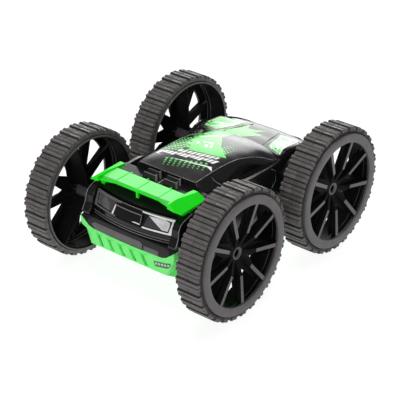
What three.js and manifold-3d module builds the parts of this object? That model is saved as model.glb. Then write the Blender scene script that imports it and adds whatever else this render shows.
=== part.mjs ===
// Double-sided radio-controlled stunt car: four large spoked drum wheels round a low body with a black
// upper shell and a green lower shell. Millimetres. +Y is the car's front, +X its right, +Z up, and the
// origin is on the ground under the middle of the car. Rear wheels are geared, front wheels run free.
import * as THREE from "three";
import { mergeVertices } from "three/addons/utils/BufferGeometryUtils.js";
import Module from "manifold-3d";

const wasm = await Module();
wasm.setup();

// ---- Driving dimensions ----
const TYRE_RADIUS = 59.2; // to the flat tops of the lugs
const AXLE_Y = 68.4; // half the wheelbase
const AXLE_Z = 57.5; // of the body's own drawing; the finished car is then raised to stand on its tyres
const WHEEL_FACE_X = 100.3; // outer face of the rim ring
const WHEEL_WIDTH = 27.9;
const GAP = 0.3; // clearance between touching pieces
const WALL = 2; // shell wall

const LUG_COUNT = 29;
const LUG_HEIGHT = 1.5;
const LUG_HALF_ANGLE = THREE.MathUtils.degToRad(2.9);
const LUG_FLANK_ANGLE = THREE.MathUtils.degToRad(0.7);
const TYRE_STEP_OUT = 1.9; // the tyre's sides stand back from the rim's faces
const TYRE_STEP_IN = 1.6;
const DRUM_RADIUS = 53.4;
const DRUM_WALL = 1.6;
const RIM_OPENING_RADIUS = 45.3;
const RING_THICKNESS = 2.2;
const SPOKE_COUNT = 9;
const SPOKE_WIDTH = 4.8;
const SPOKE_DEPTH = 5;
const SPOKE_BEND_RADIUS = 17.5;
const SPOKE_BEND_RECESS = 3.3; // below the wheel's face
const HUB_RECESS = 10;
const HUB_RADIUS = 5.8;
const HUB_SCREW_DEPTH = 4.6; // of the round recess in the hub
const WEB_COUNT = 3;
const WEB_THICKNESS = 1.5;
const WHEEL_SEGMENTS = 36;

const AXLE_RADIUS = 2;
const AXLE_INNER_X = 34;
const AXLE_BORE_RADIUS = AXLE_RADIUS + GAP;

const BODY_HALF_WIDTH = 53;
const SPLIT_Z = 54; // the black shell meets the green one here
const POD_RADIUS = 21; // round pods over the axle ends
const POD_END_X = 63;
const POD_SCREW_X = 58;
const ROOF_HALF_WIDTH = 31.3;
const DECK_Z = 89; // between the roof and the wing
const SIDE_DECK_Z = 77; // beside the cabin
const TAIL_BOW = 6; // how far the tail panel bulges rearward between its ends
const TAIL_HALF_WIDTH = 44;
const TAIL_TOP_Z = 82.2;
const TAIL_CORNER_Y = -101.5; // rear of the body on both sides of the tail panel
const LED_X = 30;
const LED_Z = 74.5;
const BUMPER_BOTTOM_Z = 49.8;
const BUMPER_TOP_Z = 60;
const BOTTOM_Z = 18;
const DOOR_HALF_WIDTH = 22;
const DOOR_REAR_Y = -30;
const DOOR_FRONT_Y = 36;
const DOOR_SCREW_Y = 31;

const WING_HALF_WIDTH = 39;
const WING_TOP_Z = 95.2;
const WING_THICKNESS = 2.4;
const WING_FRONT_Y = -69.5;
const WING_REAR_Y = -87;

const GEAR_MODULE = 1.2; // output gear and the small compound gear
const OUTPUT_TEETH = 20;
const IDLER_SMALL_TEETH = 8;
const FINE_MODULE = 1; // motor pinion and the large compound gear
const IDLER_LARGE_TEETH = 18;
const PINION_TEETH = 8;
const OUTPUT_TO_IDLER = (GEAR_MODULE * (OUTPUT_TEETH + IDLER_SMALL_TEETH)) / 2;
const IDLER_TO_PINION = (FINE_MODULE * (IDLER_LARGE_TEETH + PINION_TEETH)) / 2;
const IDLER_Y = -AXLE_Y + OUTPUT_TO_IDLER;
const MOTOR_Y = IDLER_Y + IDLER_TO_PINION;
const COARSE_GEAR_X = 40;
const COARSE_GEAR_WIDTH = 5;
const FINE_GEAR_X = 35;
const FINE_GEAR_WIDTH = 4.2;
const PIN_RADIUS = 1.25;
const MOTOR_RADIUS = 10;
const MOTOR_X = 5;
const MOTOR_LENGTH = 23.5;

// ---- Materials ----
const finish = (color, roughness, metalness) =>
  new THREE.MeshStandardMaterial({ color, roughness, metalness });
const tyreRubber = finish(0x4a4644, 0.85, 0);
const rimPlastic = finish(0x1c1b1c, 0.45, 0);
const shellBlack = finish(0x171618, 0.3, 0);
const glossBlack = finish(0x101012, 0.12, 0);
const limeGreen = finish(0x3fe23f, 0.35, 0);
const lampPlastic = finish(0x55585a, 0.15, 0);
const innerPlastic = finish(0x2a2b2e, 0.6, 0);
const gearPlastic = finish(0xe6e2d4, 0.5, 0);
const steel = finish(0xb8babd, 0.3, 1);
const brass = finish(0xb8935a, 0.35, 1);
const boardGreen = finish(0x14603a, 0.5, 0);
const cellWrap = finish(0x2f6fb5, 0.45, 0);
const ledClear = finish(0xd8dadc, 0.1, 0);
const leadRed = finish(0xb02a24, 0.5, 0);
const wireBlack = finish(0x151515, 0.5, 0);

// ---- Solids ----
// A closed geometry as a solid that can be joined and cut.
function solid(geometry) {
  const bare = new THREE.BufferGeometry();
  bare.setAttribute("position", geometry.getAttribute("position"));
  bare.setIndex(geometry.index);
  const merged = mergeVertices(bare, 1e-4);
  return new wasm.Manifold(
    new wasm.Mesh({
      numProp: 3,
      vertProperties: merged.attributes.position.array,
      triVerts: new Uint32Array(merged.index.array),
    }),
  );
}

const join = (first, ...others) => others.reduce((sum, next) => sum.add(next), first);
const cut = (base, ...tools) => tools.reduce((rest, tool) => rest.subtract(tool), base);
const mirrorX = (shape) => shape.mirror([1, 0, 0]);
const bothSides = (shape) => shape.add(mirrorX(shape));

// Extrudes a closed outline from low to high along a row axis. The outline's points are [y, z] along X,
// [x, z] along Y and [x, y] along Z.
function prism(axis, points, low, high, holes = []) {
  const shape = new THREE.Shape(points.map(([a, b]) => new THREE.Vector2(a, b)));
  shape.holes = holes.map((hole) => new THREE.Path(hole.map(([a, b]) => new THREE.Vector2(a, b))));
  const geometry = new THREE.ExtrudeGeometry(shape, { depth: high - low, bevelEnabled: false });
  const [x, y, z] = [new THREE.Vector3(1, 0, 0), new THREE.Vector3(0, 1, 0), new THREE.Vector3(0, 0, 1)];
  const turn = new THREE.Matrix4();
  if (axis === "x") turn.makeBasis(y, z, x).setPosition(low, 0, 0);
  if (axis === "y") turn.makeBasis(x, z, y.clone().negate()).setPosition(0, high, 0);
  if (axis === "z") turn.makeBasis(x, y, z).setPosition(0, 0, low);
  return solid(geometry.applyMatrix4(turn));
}

const rectangle = (a0, a1, b0, b1) => [[a0, b0], [a1, b0], [a1, b1], [a0, b1]];
const block = (x0, x1, y0, y1, z0, z1) => prism("z", rectangle(x0, x1, y0, y1), z0, z1);
// The right half of a symmetric outline, closed by its mirror image.
const mirrored = (half) => [...half, ...half.map(([a, b]) => [-a, b]).reverse()];

function circle(radius, segments, centre = [0, 0], start = 0) {
  return Array.from({ length: segments }, (_, i) => {
    const angle = start + (2 * Math.PI * i) / segments;
    return [centre[0] + radius * Math.cos(angle), centre[1] + radius * Math.sin(angle)];
  });
}

const rodX = (radius, x0, x1, y, z, segments = 16) => prism("x", circle(radius, segments, [y, z]), x0, x1);
const rodZ = (radius, z0, z1, x, y, segments = 12) => prism("z", circle(radius, segments, [x, y]), z0, z1);
const tubeX = (outer, inner, x0, x1, y, z, segments = 16) =>
  prism("x", circle(outer, segments, [y, z]), x0, x1, [circle(inner, segments, [y, z])]);

// A body turned about the X axis from an outline of [x, radius] points.
function turnedX(outline, segments) {
  const profile = [...outline, outline[0]].map(([x, radius]) => new THREE.Vector2(radius, x));
  const geometry = new THREE.LatheGeometry(profile, segments);
  const made = solid(geometry.rotateZ(-Math.PI / 2));
  return made.volume() < 0 ? made.scale([1, 1, -1]) : made;
}

// ---- Scene graph ----
const car = new THREE.Group();
car.name = "rc_stunt_car";
car.position.z = TYRE_RADIUS - AXLE_Z;

function addPart(name, shape, material, parent = car) {
  const { numProp, vertProperties, triVerts } = shape.getMesh();
  const positions = new Float32Array((vertProperties.length / numProp) * 3);
  for (let i = 0; i < positions.length / 3; i++) {
    positions.set(vertProperties.subarray(i * numProp, i * numProp + 3), i * 3);
  }
  const geometry = new THREE.BufferGeometry();
  geometry.setAttribute("position", new THREE.BufferAttribute(positions, 3));
  geometry.setIndex(new THREE.BufferAttribute(triVerts, 1));
  geometry.computeVertexNormals();
  const mesh = new THREE.Mesh(geometry, material);
  mesh.name = name;
  parent.add(mesh);
  return mesh;
}

// ---- Wheels ----
// Wheel parts are made about the axle, with the wheel's outward direction along +X and X counted from
// the car's middle plane. A flat lug is at the bottom of the tyre, and one rim web points along +Y.
function tyreBand() {
  const valleyRadius = TYRE_RADIUS - LUG_HEIGHT;
  const tipRadius = TYRE_RADIUS / Math.cos(LUG_HALF_ANGLE);
  const outline = [];
  for (let i = 0; i < LUG_COUNT; i++) {
    const middle = -Math.PI / 2 + (2 * Math.PI * i) / LUG_COUNT;
    const footAngle = LUG_HALF_ANGLE + LUG_FLANK_ANGLE;
    const corners = [
      [valleyRadius, middle - footAngle],
      [tipRadius, middle - LUG_HALF_ANGLE],
      [tipRadius, middle + LUG_HALF_ANGLE],
      [valleyRadius, middle + footAngle],
    ];
    outline.push(...corners.map(([radius, angle]) => [radius * Math.cos(angle), radius * Math.sin(angle)]));
  }
  const inner = circle(DRUM_RADIUS + GAP, WHEEL_SEGMENTS);
  const innerX = WHEEL_FACE_X - WHEEL_WIDTH + TYRE_STEP_IN;
  return prism("x", outline, innerX, WHEEL_FACE_X - TYRE_STEP_OUT, [inner]);
}

function spokedRim() {
  const innerX = WHEEL_FACE_X - WHEEL_WIDTH;
  const backX = WHEEL_FACE_X - RING_THICKNESS;
  const drumInside = DRUM_RADIUS - DRUM_WALL;
  const drum = turnedX(
    [
      [innerX, drumInside],
      [innerX, DRUM_RADIUS],
      [WHEEL_FACE_X, DRUM_RADIUS],
      [WHEEL_FACE_X, RIM_OPENING_RADIUS],
      [backX, RIM_OPENING_RADIUS],
      [backX - 2, drumInside],
    ],
    WHEEL_SEGMENTS,
  );
  const bendX = WHEEL_FACE_X - SPOKE_BEND_RECESS;
  const hubX = WHEEL_FACE_X - HUB_RECESS;
  const rimEndX = WHEEL_FACE_X - 0.6;
  const spokeFoot = HUB_RADIUS - 2;
  const spokeSide = [
    [drumInside + 0.5, rimEndX],
    [SPOKE_BEND_RADIUS, bendX],
    [spokeFoot, hubX],
    [spokeFoot, hubX - SPOKE_DEPTH],
    [SPOKE_BEND_RADIUS, bendX - SPOKE_DEPTH],
    [drumInside + 0.5, rimEndX - SPOKE_DEPTH],
  ];
  const webSide = [
    [drumInside + 0.5, bendX - 1],
    [SPOKE_BEND_RADIUS, bendX - 1],
    [spokeFoot, hubX - 1],
    [spokeFoot, innerX + 0.8],
    [drumInside + 0.5, innerX + 0.8],
  ];
  // Side outlines are [radius, x]; extruded along Z they lie in the XY plane, so Y is the radius.
  const asXY = (side) => side.map(([radius, x]) => [x, radius]);
  const spoke = prism("z", asXY(spokeSide), -SPOKE_WIDTH / 2, SPOKE_WIDTH / 2);
  const web = prism("z", asXY(webSide), -WEB_THICKNESS / 2, WEB_THICKNESS / 2);
  const around = (shape, count) =>
    Array.from({ length: count }, (_, i) => shape.rotate([(360 * i) / count, 0, 0]));
  const hub = rodX(HUB_RADIUS, innerX + 0.8, hubX + 0.3, 0, 0, 20);
  const bore = rodX(AXLE_BORE_RADIUS, innerX - 1, hubX + 1, 0, 0, 16);
  const screwRecess = rodX(3.3, hubX - HUB_SCREW_DEPTH, hubX + 1, 0, 0, 16);
  return cut(join(drum, ...around(spoke, SPOKE_COUNT), ...around(web, WEB_COUNT), hub), bore, screwRecess);
}

const HUB_SEAT_X = WHEEL_FACE_X - HUB_RECESS - HUB_SCREW_DEPTH; // bottom of the hub's screw recess
const AXLE_END_X = HUB_SEAT_X - GAP;

function wheelAxle() {
  const rod = rodX(AXLE_RADIUS, AXLE_INNER_X, AXLE_END_X, 0, 0);
  return cut(rod, rodX(1.4, AXLE_END_X - 9, AXLE_END_X + 1, 0, 0, 10));
}

function wheelScrew() {
  const head = rodX(2.8, HUB_SEAT_X + GAP, HUB_SEAT_X + 2.4, 0, 0, 12);
  const shank = rodX(1.1, AXLE_END_X - 8, HUB_SEAT_X + 1, 0, 0, 10);
  const slot = block(HUB_SEAT_X + 1.4, HUB_SEAT_X + 3, -2, 2, -0.4, 0.4);
  return cut(join(head, shank), slot, slot.rotate([90, 0, 0]));
}

const axleBushing = () => tubeX(4, AXLE_BORE_RADIUS, 56, 64.5, 0, 0);

const tyreShape = tyreBand();
const rimShape = spokedRim();
const corners = [
  { name: "rear_right", side: 1, y: -AXLE_Y, webAngle: 107 },
  { name: "rear_left", side: -1, y: -AXLE_Y, webAngle: 75 },
  { name: "front_right", side: 1, y: AXLE_Y, webAngle: 107 },
  { name: "front_left", side: -1, y: AXLE_Y, webAngle: 88 },
];
for (const { name, side, y, webAngle } of corners) {
  const corner = new THREE.Group();
  corner.position.set(0, y, AXLE_Z);
  corner.rotation.z = side > 0 ? 0 : Math.PI;
  car.add(corner);
  addPart(`${name}_tyre`, tyreShape, tyreRubber, corner);
  const rim = addPart(`${name}_rim`, rimShape, rimPlastic, corner);
  rim.rotation.x = THREE.MathUtils.degToRad(webAngle);
  addPart(`${name}_wheel_screw`, wheelScrew(), steel, corner);
  addPart(`${name}_axle`, wheelAxle(), steel, corner);
  addPart(`${name}_bushing`, axleBushing(), brass, corner);
  if (y > 0) addPart(`${name}_axle_clip`, tubeX(3.4, AXLE_BORE_RADIUS, 35.2, 36.4, 0, 0, 12), steel, corner);
}

// ---- Gear train ----
// A spur gear outline in [y, z] with straight-sided teeth, thinned for running clearance. A tooth
// points along +Y when turn is 0.
function gearOutline(teeth, module, turn) {
  const pitchAngle = (2 * Math.PI) / teeth;
  const tipRadius = module * (teeth / 2 + 0.85);
  const rootRadius = module * (teeth / 2 - 1.15);
  const halfTip = 0.1 * pitchAngle;
  const halfRoot = 0.27 * pitchAngle;
  const outline = [];
  for (let i = 0; i < teeth; i++) {
    const middle = turn + i * pitchAngle;
    const steps = [
      [rootRadius, middle - halfRoot],
      [tipRadius, middle - halfTip],
      [tipRadius, middle + halfTip],
      [rootRadius, middle + halfRoot],
    ];
    outline.push(...steps.map(([radius, angle]) => [radius * Math.cos(angle), radius * Math.sin(angle)]));
  }
  return outline;
}

const spurGear = (teeth, module, turn, x0, x1) => prism("x", gearOutline(teeth, module, turn), x0, x1);
const halfTooth = (teeth) => Math.PI / teeth;

function outputGear() {
  const gear = spurGear(OUTPUT_TEETH, GEAR_MODULE, 0, COARSE_GEAR_X, COARSE_GEAR_X + COARSE_GEAR_WIDTH);
  return cut(gear, rodX(AXLE_BORE_RADIUS, COARSE_GEAR_X - 1, COARSE_GEAR_X + 9, 0, 0));
}

// The compound gear's coarse teeth face the output gear on -Y, and its fine teeth the pinion on +Y.
function compoundGear() {
  const coarseTurn = Math.PI + halfTooth(IDLER_SMALL_TEETH);
  const coarse = spurGear(
    IDLER_SMALL_TEETH, GEAR_MODULE, coarseTurn, FINE_GEAR_X + 2, COARSE_GEAR_X + COARSE_GEAR_WIDTH,
  );
  const fine = spurGear(IDLER_LARGE_TEETH, FINE_MODULE, 0, FINE_GEAR_X, FINE_GEAR_X + FINE_GEAR_WIDTH);
  return cut(join(coarse, fine), rodX(PIN_RADIUS + GAP, FINE_GEAR_X - 1, 50, 0, 0, 12));
}

function motorPinion() {
  const turn = Math.PI + halfTooth(PINION_TEETH);
  const gear = spurGear(PINION_TEETH, FINE_MODULE, turn, FINE_GEAR_X - 0.3, FINE_GEAR_X + FINE_GEAR_WIDTH);
  return cut(gear, rodX(1.3, FINE_GEAR_X - 1, FINE_GEAR_X + 9, 0, 0, 10));
}

function motor() {
  const flats = block(0, 40, -MOTOR_RADIUS, MOTOR_RADIUS, -7.7, 7.7);
  const can = rodX(MOTOR_RADIUS, MOTOR_X, MOTOR_X + MOTOR_LENGTH, 0, 0, 24).intersect(flats);
  const nose = rodX(3, MOTOR_X + MOTOR_LENGTH - 1, MOTOR_X + MOTOR_LENGTH + 1.6, 0, 0, 12);
  const shaft = rodX(1, MOTOR_X + MOTOR_LENGTH, FINE_GEAR_X + FINE_GEAR_WIDTH - 0.4, 0, 0, 10);
  return join(can, nose, shaft);
}

const driveParts = [
  ["output_gear", outputGear(), gearPlastic, -AXLE_Y],
  ["compound_gear", compoundGear(), gearPlastic, IDLER_Y],
  ["gear_pin", rodX(PIN_RADIUS, 31.4, 47.6, 0, 0, 10), steel, IDLER_Y],
  ["motor_pinion", motorPinion(), brass, MOTOR_Y],
  ["drive_motor", motor(), steel, MOTOR_Y],
];
for (const [sideName, toSide] of [["right", (shape) => shape], ["left", mirrorX]]) {
  for (const [name, shape, material, y] of driveParts) {
    addPart(`${sideName}_${name}`, toSide(shape).translate([0, y, AXLE_Z]), material);
  }
}

// ---- Gearbox, front carrier and chassis tray ----
const CASE_INNER_X = 30.3;
const CASE_OUTER_X = 48.4;
const CASE_WALL = 1.6;
const CASE_REAR_Y = -84.5;
const CASE_FRONT_Y = -30;
const CASE_BOTTOM_Z = 41.6;
const CASE_TOP_Z = 73.4;
const ARM_RADIUS = 7;
const ARM_END_X = 60.4;

// Rear gearbox: a box at each end with the axle arm outside it, joined by the motor cradle between.
function gearboxHalf(z0, z1) {
  const outer = block(CASE_INNER_X, CASE_OUTER_X, CASE_REAR_Y, CASE_FRONT_Y, CASE_BOTTOM_Z, CASE_TOP_Z);
  const hollow = block(
    CASE_INNER_X + CASE_WALL, CASE_OUTER_X - CASE_WALL, CASE_REAR_Y + CASE_WALL, CASE_FRONT_Y - CASE_WALL,
    CASE_BOTTOM_Z + CASE_WALL, CASE_TOP_Z - CASE_WALL,
  );
  const arm = rodX(ARM_RADIUS, CASE_OUTER_X - 1, ARM_END_X, -AXLE_Y, AXLE_Z);
  const openings = [
    rodX(AXLE_RADIUS + GAP, 0, 53, -AXLE_Y, AXLE_Z),
    rodX(4 + GAP, 52, 70, -AXLE_Y, AXLE_Z),
    rodX(PIN_RADIUS + GAP, CASE_INNER_X - 1, CASE_OUTER_X - 0.3, IDLER_Y, AXLE_Z, 12),
    rodX(3 + GAP, 20, CASE_INNER_X + 3, MOTOR_Y, AXLE_Z, 12),
  ];
  const keep = block(0, 70, -100, 0, z0, z1);
  return cut(join(cut(outer, hollow), arm), ...openings).intersect(keep);
}

function gearboxCase() {
  const box = gearboxHalf(CASE_BOTTOM_Z, AXLE_Z - GAP / 2);
  const cradle = cut(
    block(-CASE_INNER_X - 1, CASE_INNER_X + 1, MOTOR_Y - 13, MOTOR_Y + 13, CASE_BOTTOM_Z + 1, AXLE_Z - 3),
    bothSides(rodX(MOTOR_RADIUS + GAP, 3, CASE_INNER_X, MOTOR_Y, AXLE_Z, 24)),
  );
  return join(bothSides(box), cradle);
}

function gearboxLid() {
  const box = gearboxHalf(AXLE_Z + GAP / 2, CASE_TOP_Z);
  const screwPilot = rodZ(1.6, AXLE_Z + 3, AXLE_Z + 9, POD_SCREW_X, -AXLE_Y, 10);
  const bridgeEnd = CASE_INNER_X + 1;
  const bridge = block(-bridgeEnd, bridgeEnd, MOTOR_Y - 5, MOTOR_Y + 5, CASE_TOP_Z - 4, CASE_TOP_Z - 1);
  return join(bothSides(cut(box, screwPilot)), bridge);
}

// Front carrier: a channel with an arm at each end; each stub axle turns in the end wall and a rib.
function frontCarrier() {
  const beam = block(-CASE_OUTER_X, CASE_OUTER_X, AXLE_Y - 9, AXLE_Y + 9, AXLE_Z - 9, AXLE_Z + 9);
  const trough = block(-28, 28, AXLE_Y - 7, AXLE_Y + 7, AXLE_Z - 7, AXLE_Z + 10);
  const clipRoom = bothSides(block(30.5, 38, AXLE_Y - 7, AXLE_Y + 7, AXLE_Z - 7, AXLE_Z + 10));
  const arms = bothSides(rodX(ARM_RADIUS, CASE_OUTER_X - 1, ARM_END_X, AXLE_Y, AXLE_Z));
  const bores = bothSides(
    join(rodX(AXLE_BORE_RADIUS, 30, 53, AXLE_Y, AXLE_Z), rodX(4 + GAP, 52, 70, AXLE_Y, AXLE_Z)),
  );
  const screwPilots = bothSides(rodZ(1.6, AXLE_Z + 3, AXLE_Z + 9, POD_SCREW_X, AXLE_Y, 10));
  return cut(join(beam, arms), trough, clipRoom, bores, screwPilots);
}

// Tray between the two axle units: a floor with raised sides that holds the battery and the board.
const TRAY_HALF_WIDTH = 26;
const TRAY_REAR_Y = MOTOR_Y + 14;
const TRAY_FRONT_Y = AXLE_Y - 9 - GAP;
function chassisTray() {
  const outer = block(-TRAY_HALF_WIDTH, TRAY_HALF_WIDTH, TRAY_REAR_Y, TRAY_FRONT_Y, 48, 58);
  const inside = block(-TRAY_HALF_WIDTH + 2, TRAY_HALF_WIDTH - 2, TRAY_REAR_Y + 2, TRAY_FRONT_Y - 2, 50, 59);
  const wireHoles = bothSides(block(8, 18, TRAY_REAR_Y + 4, TRAY_REAR_Y + 8, 47, 51));
  return cut(outer, inside, wireHoles);
}

addPart("rear_gearbox_case", gearboxCase(), innerPlastic);
addPart("rear_gearbox_lid", gearboxLid(), innerPlastic);
addPart("front_axle_carrier", frontCarrier(), innerPlastic);
addPart("chassis_tray", chassisTray(), innerPlastic);

// ---- Electrics ----
addPart("battery_pack", batteryPack(), cellWrap);
addPart("circuit_board", circuitBoard(), boardGreen);
addPart("antenna_wire", antennaWire(), wireBlack);
for (const [name, sign] of [["right", 1], ["left", -1]]) {
  addPart(`${name}_motor_leads`, motorLeads(sign), leadRed);
}

// Three round cells side by side in one shrink wrap.
function batteryPack() {
  const cellRadius = 9;
  const cells = [-1, 0, 1].map((i) =>
    prism("y", circle(cellRadius, 16, [i * cellRadius * 1.9, 33]), DOOR_REAR_Y + 4, DOOR_FRONT_Y - 10),
  );
  return join(...cells);
}

function circuitBoard() {
  const board = block(-18, 18, -6, 38, 53, 54.6);
  const chip = block(-5, 5, 8, 18, 54.6, 56.4);
  const sockets = block(-14, 14, 30, 35, 54.6, 60);
  const capacitor = rodZ(3.5, 54.6, 64, 11, 2);
  return join(board, chip, sockets, capacitor);
}

function tubeAlong(points, radius, sides, steps) {
  const route = new THREE.CatmullRomCurve3(points.map(([x, y, z]) => new THREE.Vector3(x, y, z)));
  const section = new THREE.Shape(circle(radius, sides).map(([a, b]) => new THREE.Vector2(a, b)));
  return solid(new THREE.ExtrudeGeometry(section, { steps, extrudePath: route }));
}

function antennaWire() {
  return tubeAlong([[-6, -3.3, 55.6], [-8, -4, 62], [-14, 0, 74], [-18, 24, 78], [-8, 34, 78]], 0.6, 6, 12);
}

function motorLeads(sign) {
  const points = [[14, MOTOR_Y + 8.6, 66], [14, -22, 68], [14, -14, 62], [14, -5, 56]];
  return tubeAlong(points.map(([x, y, z]) => [sign * x, y, z]), 0.8, 6, 10);
}

// ---- Body shells ----
// Rear face of the tail panel at its two ends, in [y, z]: it leans forward above the lamps' lower edge.
const tailFace = (inset) => [
  [-88.6 + inset, TAIL_TOP_Z],
  [-94.9 + inset, 68.6],
  [-95.4 + inset, BUMPER_TOP_Z + GAP],
];

// Extrudes a [y, z] outline along X from x0 to x1 and bows it rearward, most in the middle of the car.
function bowed(outline, x0, x1, steps = 10) {
  const ring = outline.map(([y, z]) => new THREE.Vector2(y, z));
  if (THREE.ShapeUtils.isClockWise(ring)) {
    ring.reverse();
  }
  const count = ring.length;
  const last = steps * count;
  const positions = [];
  const index = [];
  for (let i = 0; i <= steps; i++) {
    const x = x0 + ((x1 - x0) * i) / steps;
    const back = TAIL_BOW * (1 - (x / TAIL_HALF_WIDTH) ** 2);
    ring.forEach((point) => positions.push(x, point.x - back, point.y));
  }
  for (let start = 0; start < last; start += count) {
    for (let j = 0; j < count; j++) {
      const [a, b] = [start + j, start + ((j + 1) % count)];
      index.push(a, b, a + count, b, b + count, a + count);
    }
  }
  for (const [a, b, c] of THREE.ShapeUtils.triangulateShape(ring, [])) {
    index.push(a, c, b, last + a, last + b, last + c);
  }
  const geometry = new THREE.BufferGeometry();
  geometry.setAttribute("position", new THREE.Float32BufferAttribute(positions, 3));
  geometry.setIndex(index);
  return solid(geometry);
}

// The room behind the shell that the tail panel stands in.
const tailRoom = (inset) =>
  bowed(
    [...tailFace(3.5 + inset), [-91.9 + inset, 30], [-140, 30], [-140, 120], [-74, 120], [-74 + inset, 98]],
    -TAIL_HALF_WIDTH - GAP - inset,
    TAIL_HALF_WIDTH + GAP + inset,
  );

const nosePlan = [[BODY_HALF_WIDTH - 3, 52], [BODY_HALF_WIDTH - 5, 88], [36, 99], [18, 105]];

// Plan of the body, inset all round for hollowing.
function bodyPlan(inset) {
  const side = BODY_HALF_WIDTH - inset;
  const front = nosePlan.map(([x, y]) => [x - inset, y - inset]);
  return mirrored([[side, TAIL_CORNER_Y + inset], [side, 20], ...front]);
}

// Cabin: roof profile in [y, z] and its sloping sides in [x, z].
const roofLine = [[-48.5, 94.9], [-30, 96.4], [-8, 97], [15, 95.4], [35, 91.6], [47, 88], [57, 80]];
const cabinProfile = (drop) => [
  [-48.5 + drop, 70],
  ...roofLine.map(([y, z]) => [y + Math.sign(-y) * drop, z - drop]),
  [57 - drop, 70],
];
const cabinSection = (inset) =>
  mirrored([[44.5 - inset, 70], [43 - inset, SIDE_DECK_Z], [ROOF_HALF_WIDTH - inset, 95], [28 - inset, 99]]);
// Windscreen pillars: from the roof's edge the front of the cabin spreads out to the front shoulders.
const pillarSection = (inset) => mirrored([[48 - inset, 70], [48 - inset, 81.5], [36, 88.4], [30, 90.5]]);
const pillarPlan = (inset) => mirrored([[35 - inset, 16], [48 - inset, 43], [48 - inset, 50 - inset]]);
const cabin = (inset) =>
  join(
    prism("x", cabinProfile(inset), -60, 60).intersect(prism("y", cabinSection(inset), -60, 70)),
    prism("y", pillarSection(inset), -60, 60)
      .intersect(prism("z", pillarPlan(inset), 60, 100))
      .intersect(prism("x", cabinProfile(inset), -60, 60)),
  );

// Low deck, hood and side walls below the cabin, in [y, z].
const deckLine = [
  [-101.5, 63], [-99.7, 65.4], [-97, 70.4], [-95.7, 76.7], [-93, 81], [-88.6, 82.4], [-70, DECK_Z],
  [-46, DECK_Z], [-45, SIDE_DECK_Z], [44, SIDE_DECK_Z], [46, 85], [75, 82], [100, 77.5], [108, 70],
];
const deckSection = (inset) =>
  mirrored([[BODY_HALF_WIDTH - inset, 0], [BODY_HALF_WIDTH - inset, 62], [49 - inset, 82], [47, 90]]);
function lowBody(inset, z0) {
  const profile = [[-101.5, z0], ...deckLine.map(([y, z]) => [y, z - inset]), [108, z0]];
  return prism("x", profile, -60, 60)
    .intersect(prism("y", deckSection(inset), -120, 120))
    .intersect(prism("z", bodyPlan(inset), 0, 100))
    .subtract(tailRoom(inset));
}

// Raised shoulder along each side, highest over the rear and front wheels.
const shoulderLine = [[-90, 79], [-66, 88], [-38, 88], [-8, 82.5], [36, 80], [60, 86], [78, 84], [88, 78]];
const shoulderSection = [[50, 60], [50, 80], [48, 90], [44.4, 90], [44.4, 60]];
const shoulders = () =>
  bothSides(
    prism("x", [[-90, 66], ...shoulderLine, [88, 66]], 40, 55)
      .intersect(prism("y", shoulderSection, -100, 100)),
  );

const pods = (radius, endX, y) => rodX(radius, 45, endX, y, AXLE_Z, 24);
const allPods = (radius, endX) => bothSides(join(pods(radius, endX, AXLE_Y), pods(radius, endX, -AXLE_Y)));
const above = (z) => block(-120, 120, -130, 130, z, 140);
const below = (z) => block(-120, 120, -130, 130, -10, z);

// The bumper's outline seen from behind: its lower edge rises to the corners.
const bumperFront = (grow) =>
  mirrored([
    [38, BUMPER_BOTTOM_Z - grow],
    [47, 52.5 - grow],
    [BODY_HALF_WIDTH + grow, 57 - grow],
    [BODY_HALF_WIDTH + grow, BUMPER_TOP_Z + grow],
  ]);
const BUMPER_FRONT_Y = -95;
const SHELL_ROOM_TOP_Z = 79.5;

function upperShell() {
  const axleHoles = bothSides(join(pods(4.9, 70, AXLE_Y), pods(4.9, 70, -AXLE_Y)));
  const screwHoles = [-1, 1].map((end) => bothSides(rodZ(3.3, AXLE_Z + 12, 90, POD_SCREW_X, end * AXLE_Y)));
  const outer = join(lowBody(0, 40), cabin(0), shoulders(), allPods(POD_RADIUS, POD_END_X));
  const hollow = join(
    lowBody(WALL, 40).intersect(block(-120, 120, -130, 130, 0, SHELL_ROOM_TOP_Z)),
    cabin(WALL).intersect(above(60)),
    allPods(POD_RADIUS - WALL, POD_END_X - WALL),
  );
  const ledHoles = bothSides(prism("y", circle(2.8, 12, [LED_X, LED_Z]), -120, -84));
  const underPanel = block(-TAIL_HALF_WIDTH - 1, TAIL_HALF_WIDTH + 1, -130, -94, 40, BUMPER_TOP_Z + 0.4);
  const bumperRoom = prism("y", bumperFront(GAP), -130, BUMPER_FRONT_Y + GAP);
  const cornerRoom = block(-60, 60, -130, BUMPER_FRONT_Y + GAP, 40, BUMPER_TOP_Z + GAP);
  return cut(
    outer, hollow, axleHoles, ...screwHoles, ledHoles, underPanel, bumperRoom, cornerRoom,
    below(SPLIT_Z + GAP / 2),
  );
}

// Bottom body: mirrored cabin and sloped flanks under the split.
const bellyProfile = [
  [-106.5, 60], [-103, 34], [-88, 24], [-48, BOTTOM_Z], [48, BOTTOM_Z], [88, 26], [106, 44], [107, 60],
];
const bellySection = (inset) =>
  mirrored([
    [36 - inset, BOTTOM_Z - 1],
    [50 - inset, 32],
    [BODY_HALF_WIDTH - inset, 42],
    [BODY_HALF_WIDTH - inset, 60],
  ]);
// The flanks lean in more behind the rear axle.
const tailFlanks = (inset) =>
  mirrored([[42 - inset, 20], [42 - inset, 32], [BODY_HALF_WIDTH - inset, 54], [60, 60]]);
function belly(inset) {
  const profile = bellyProfile.map(([y, z]) => [y - Math.sign(y) * inset, z < 59 ? z + inset : z + WALL]);
  const rearEdge = -88 + inset;
  const sections = join(
    prism("y", bellySection(inset), rearEdge, 120),
    prism("y", tailFlanks(inset), -120, rearEdge + 1),
  );
  return prism("x", profile, -60, 60)
    .intersect(sections)
    .intersect(prism("z", lowerPlan(inset), 0, 100));
}

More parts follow.
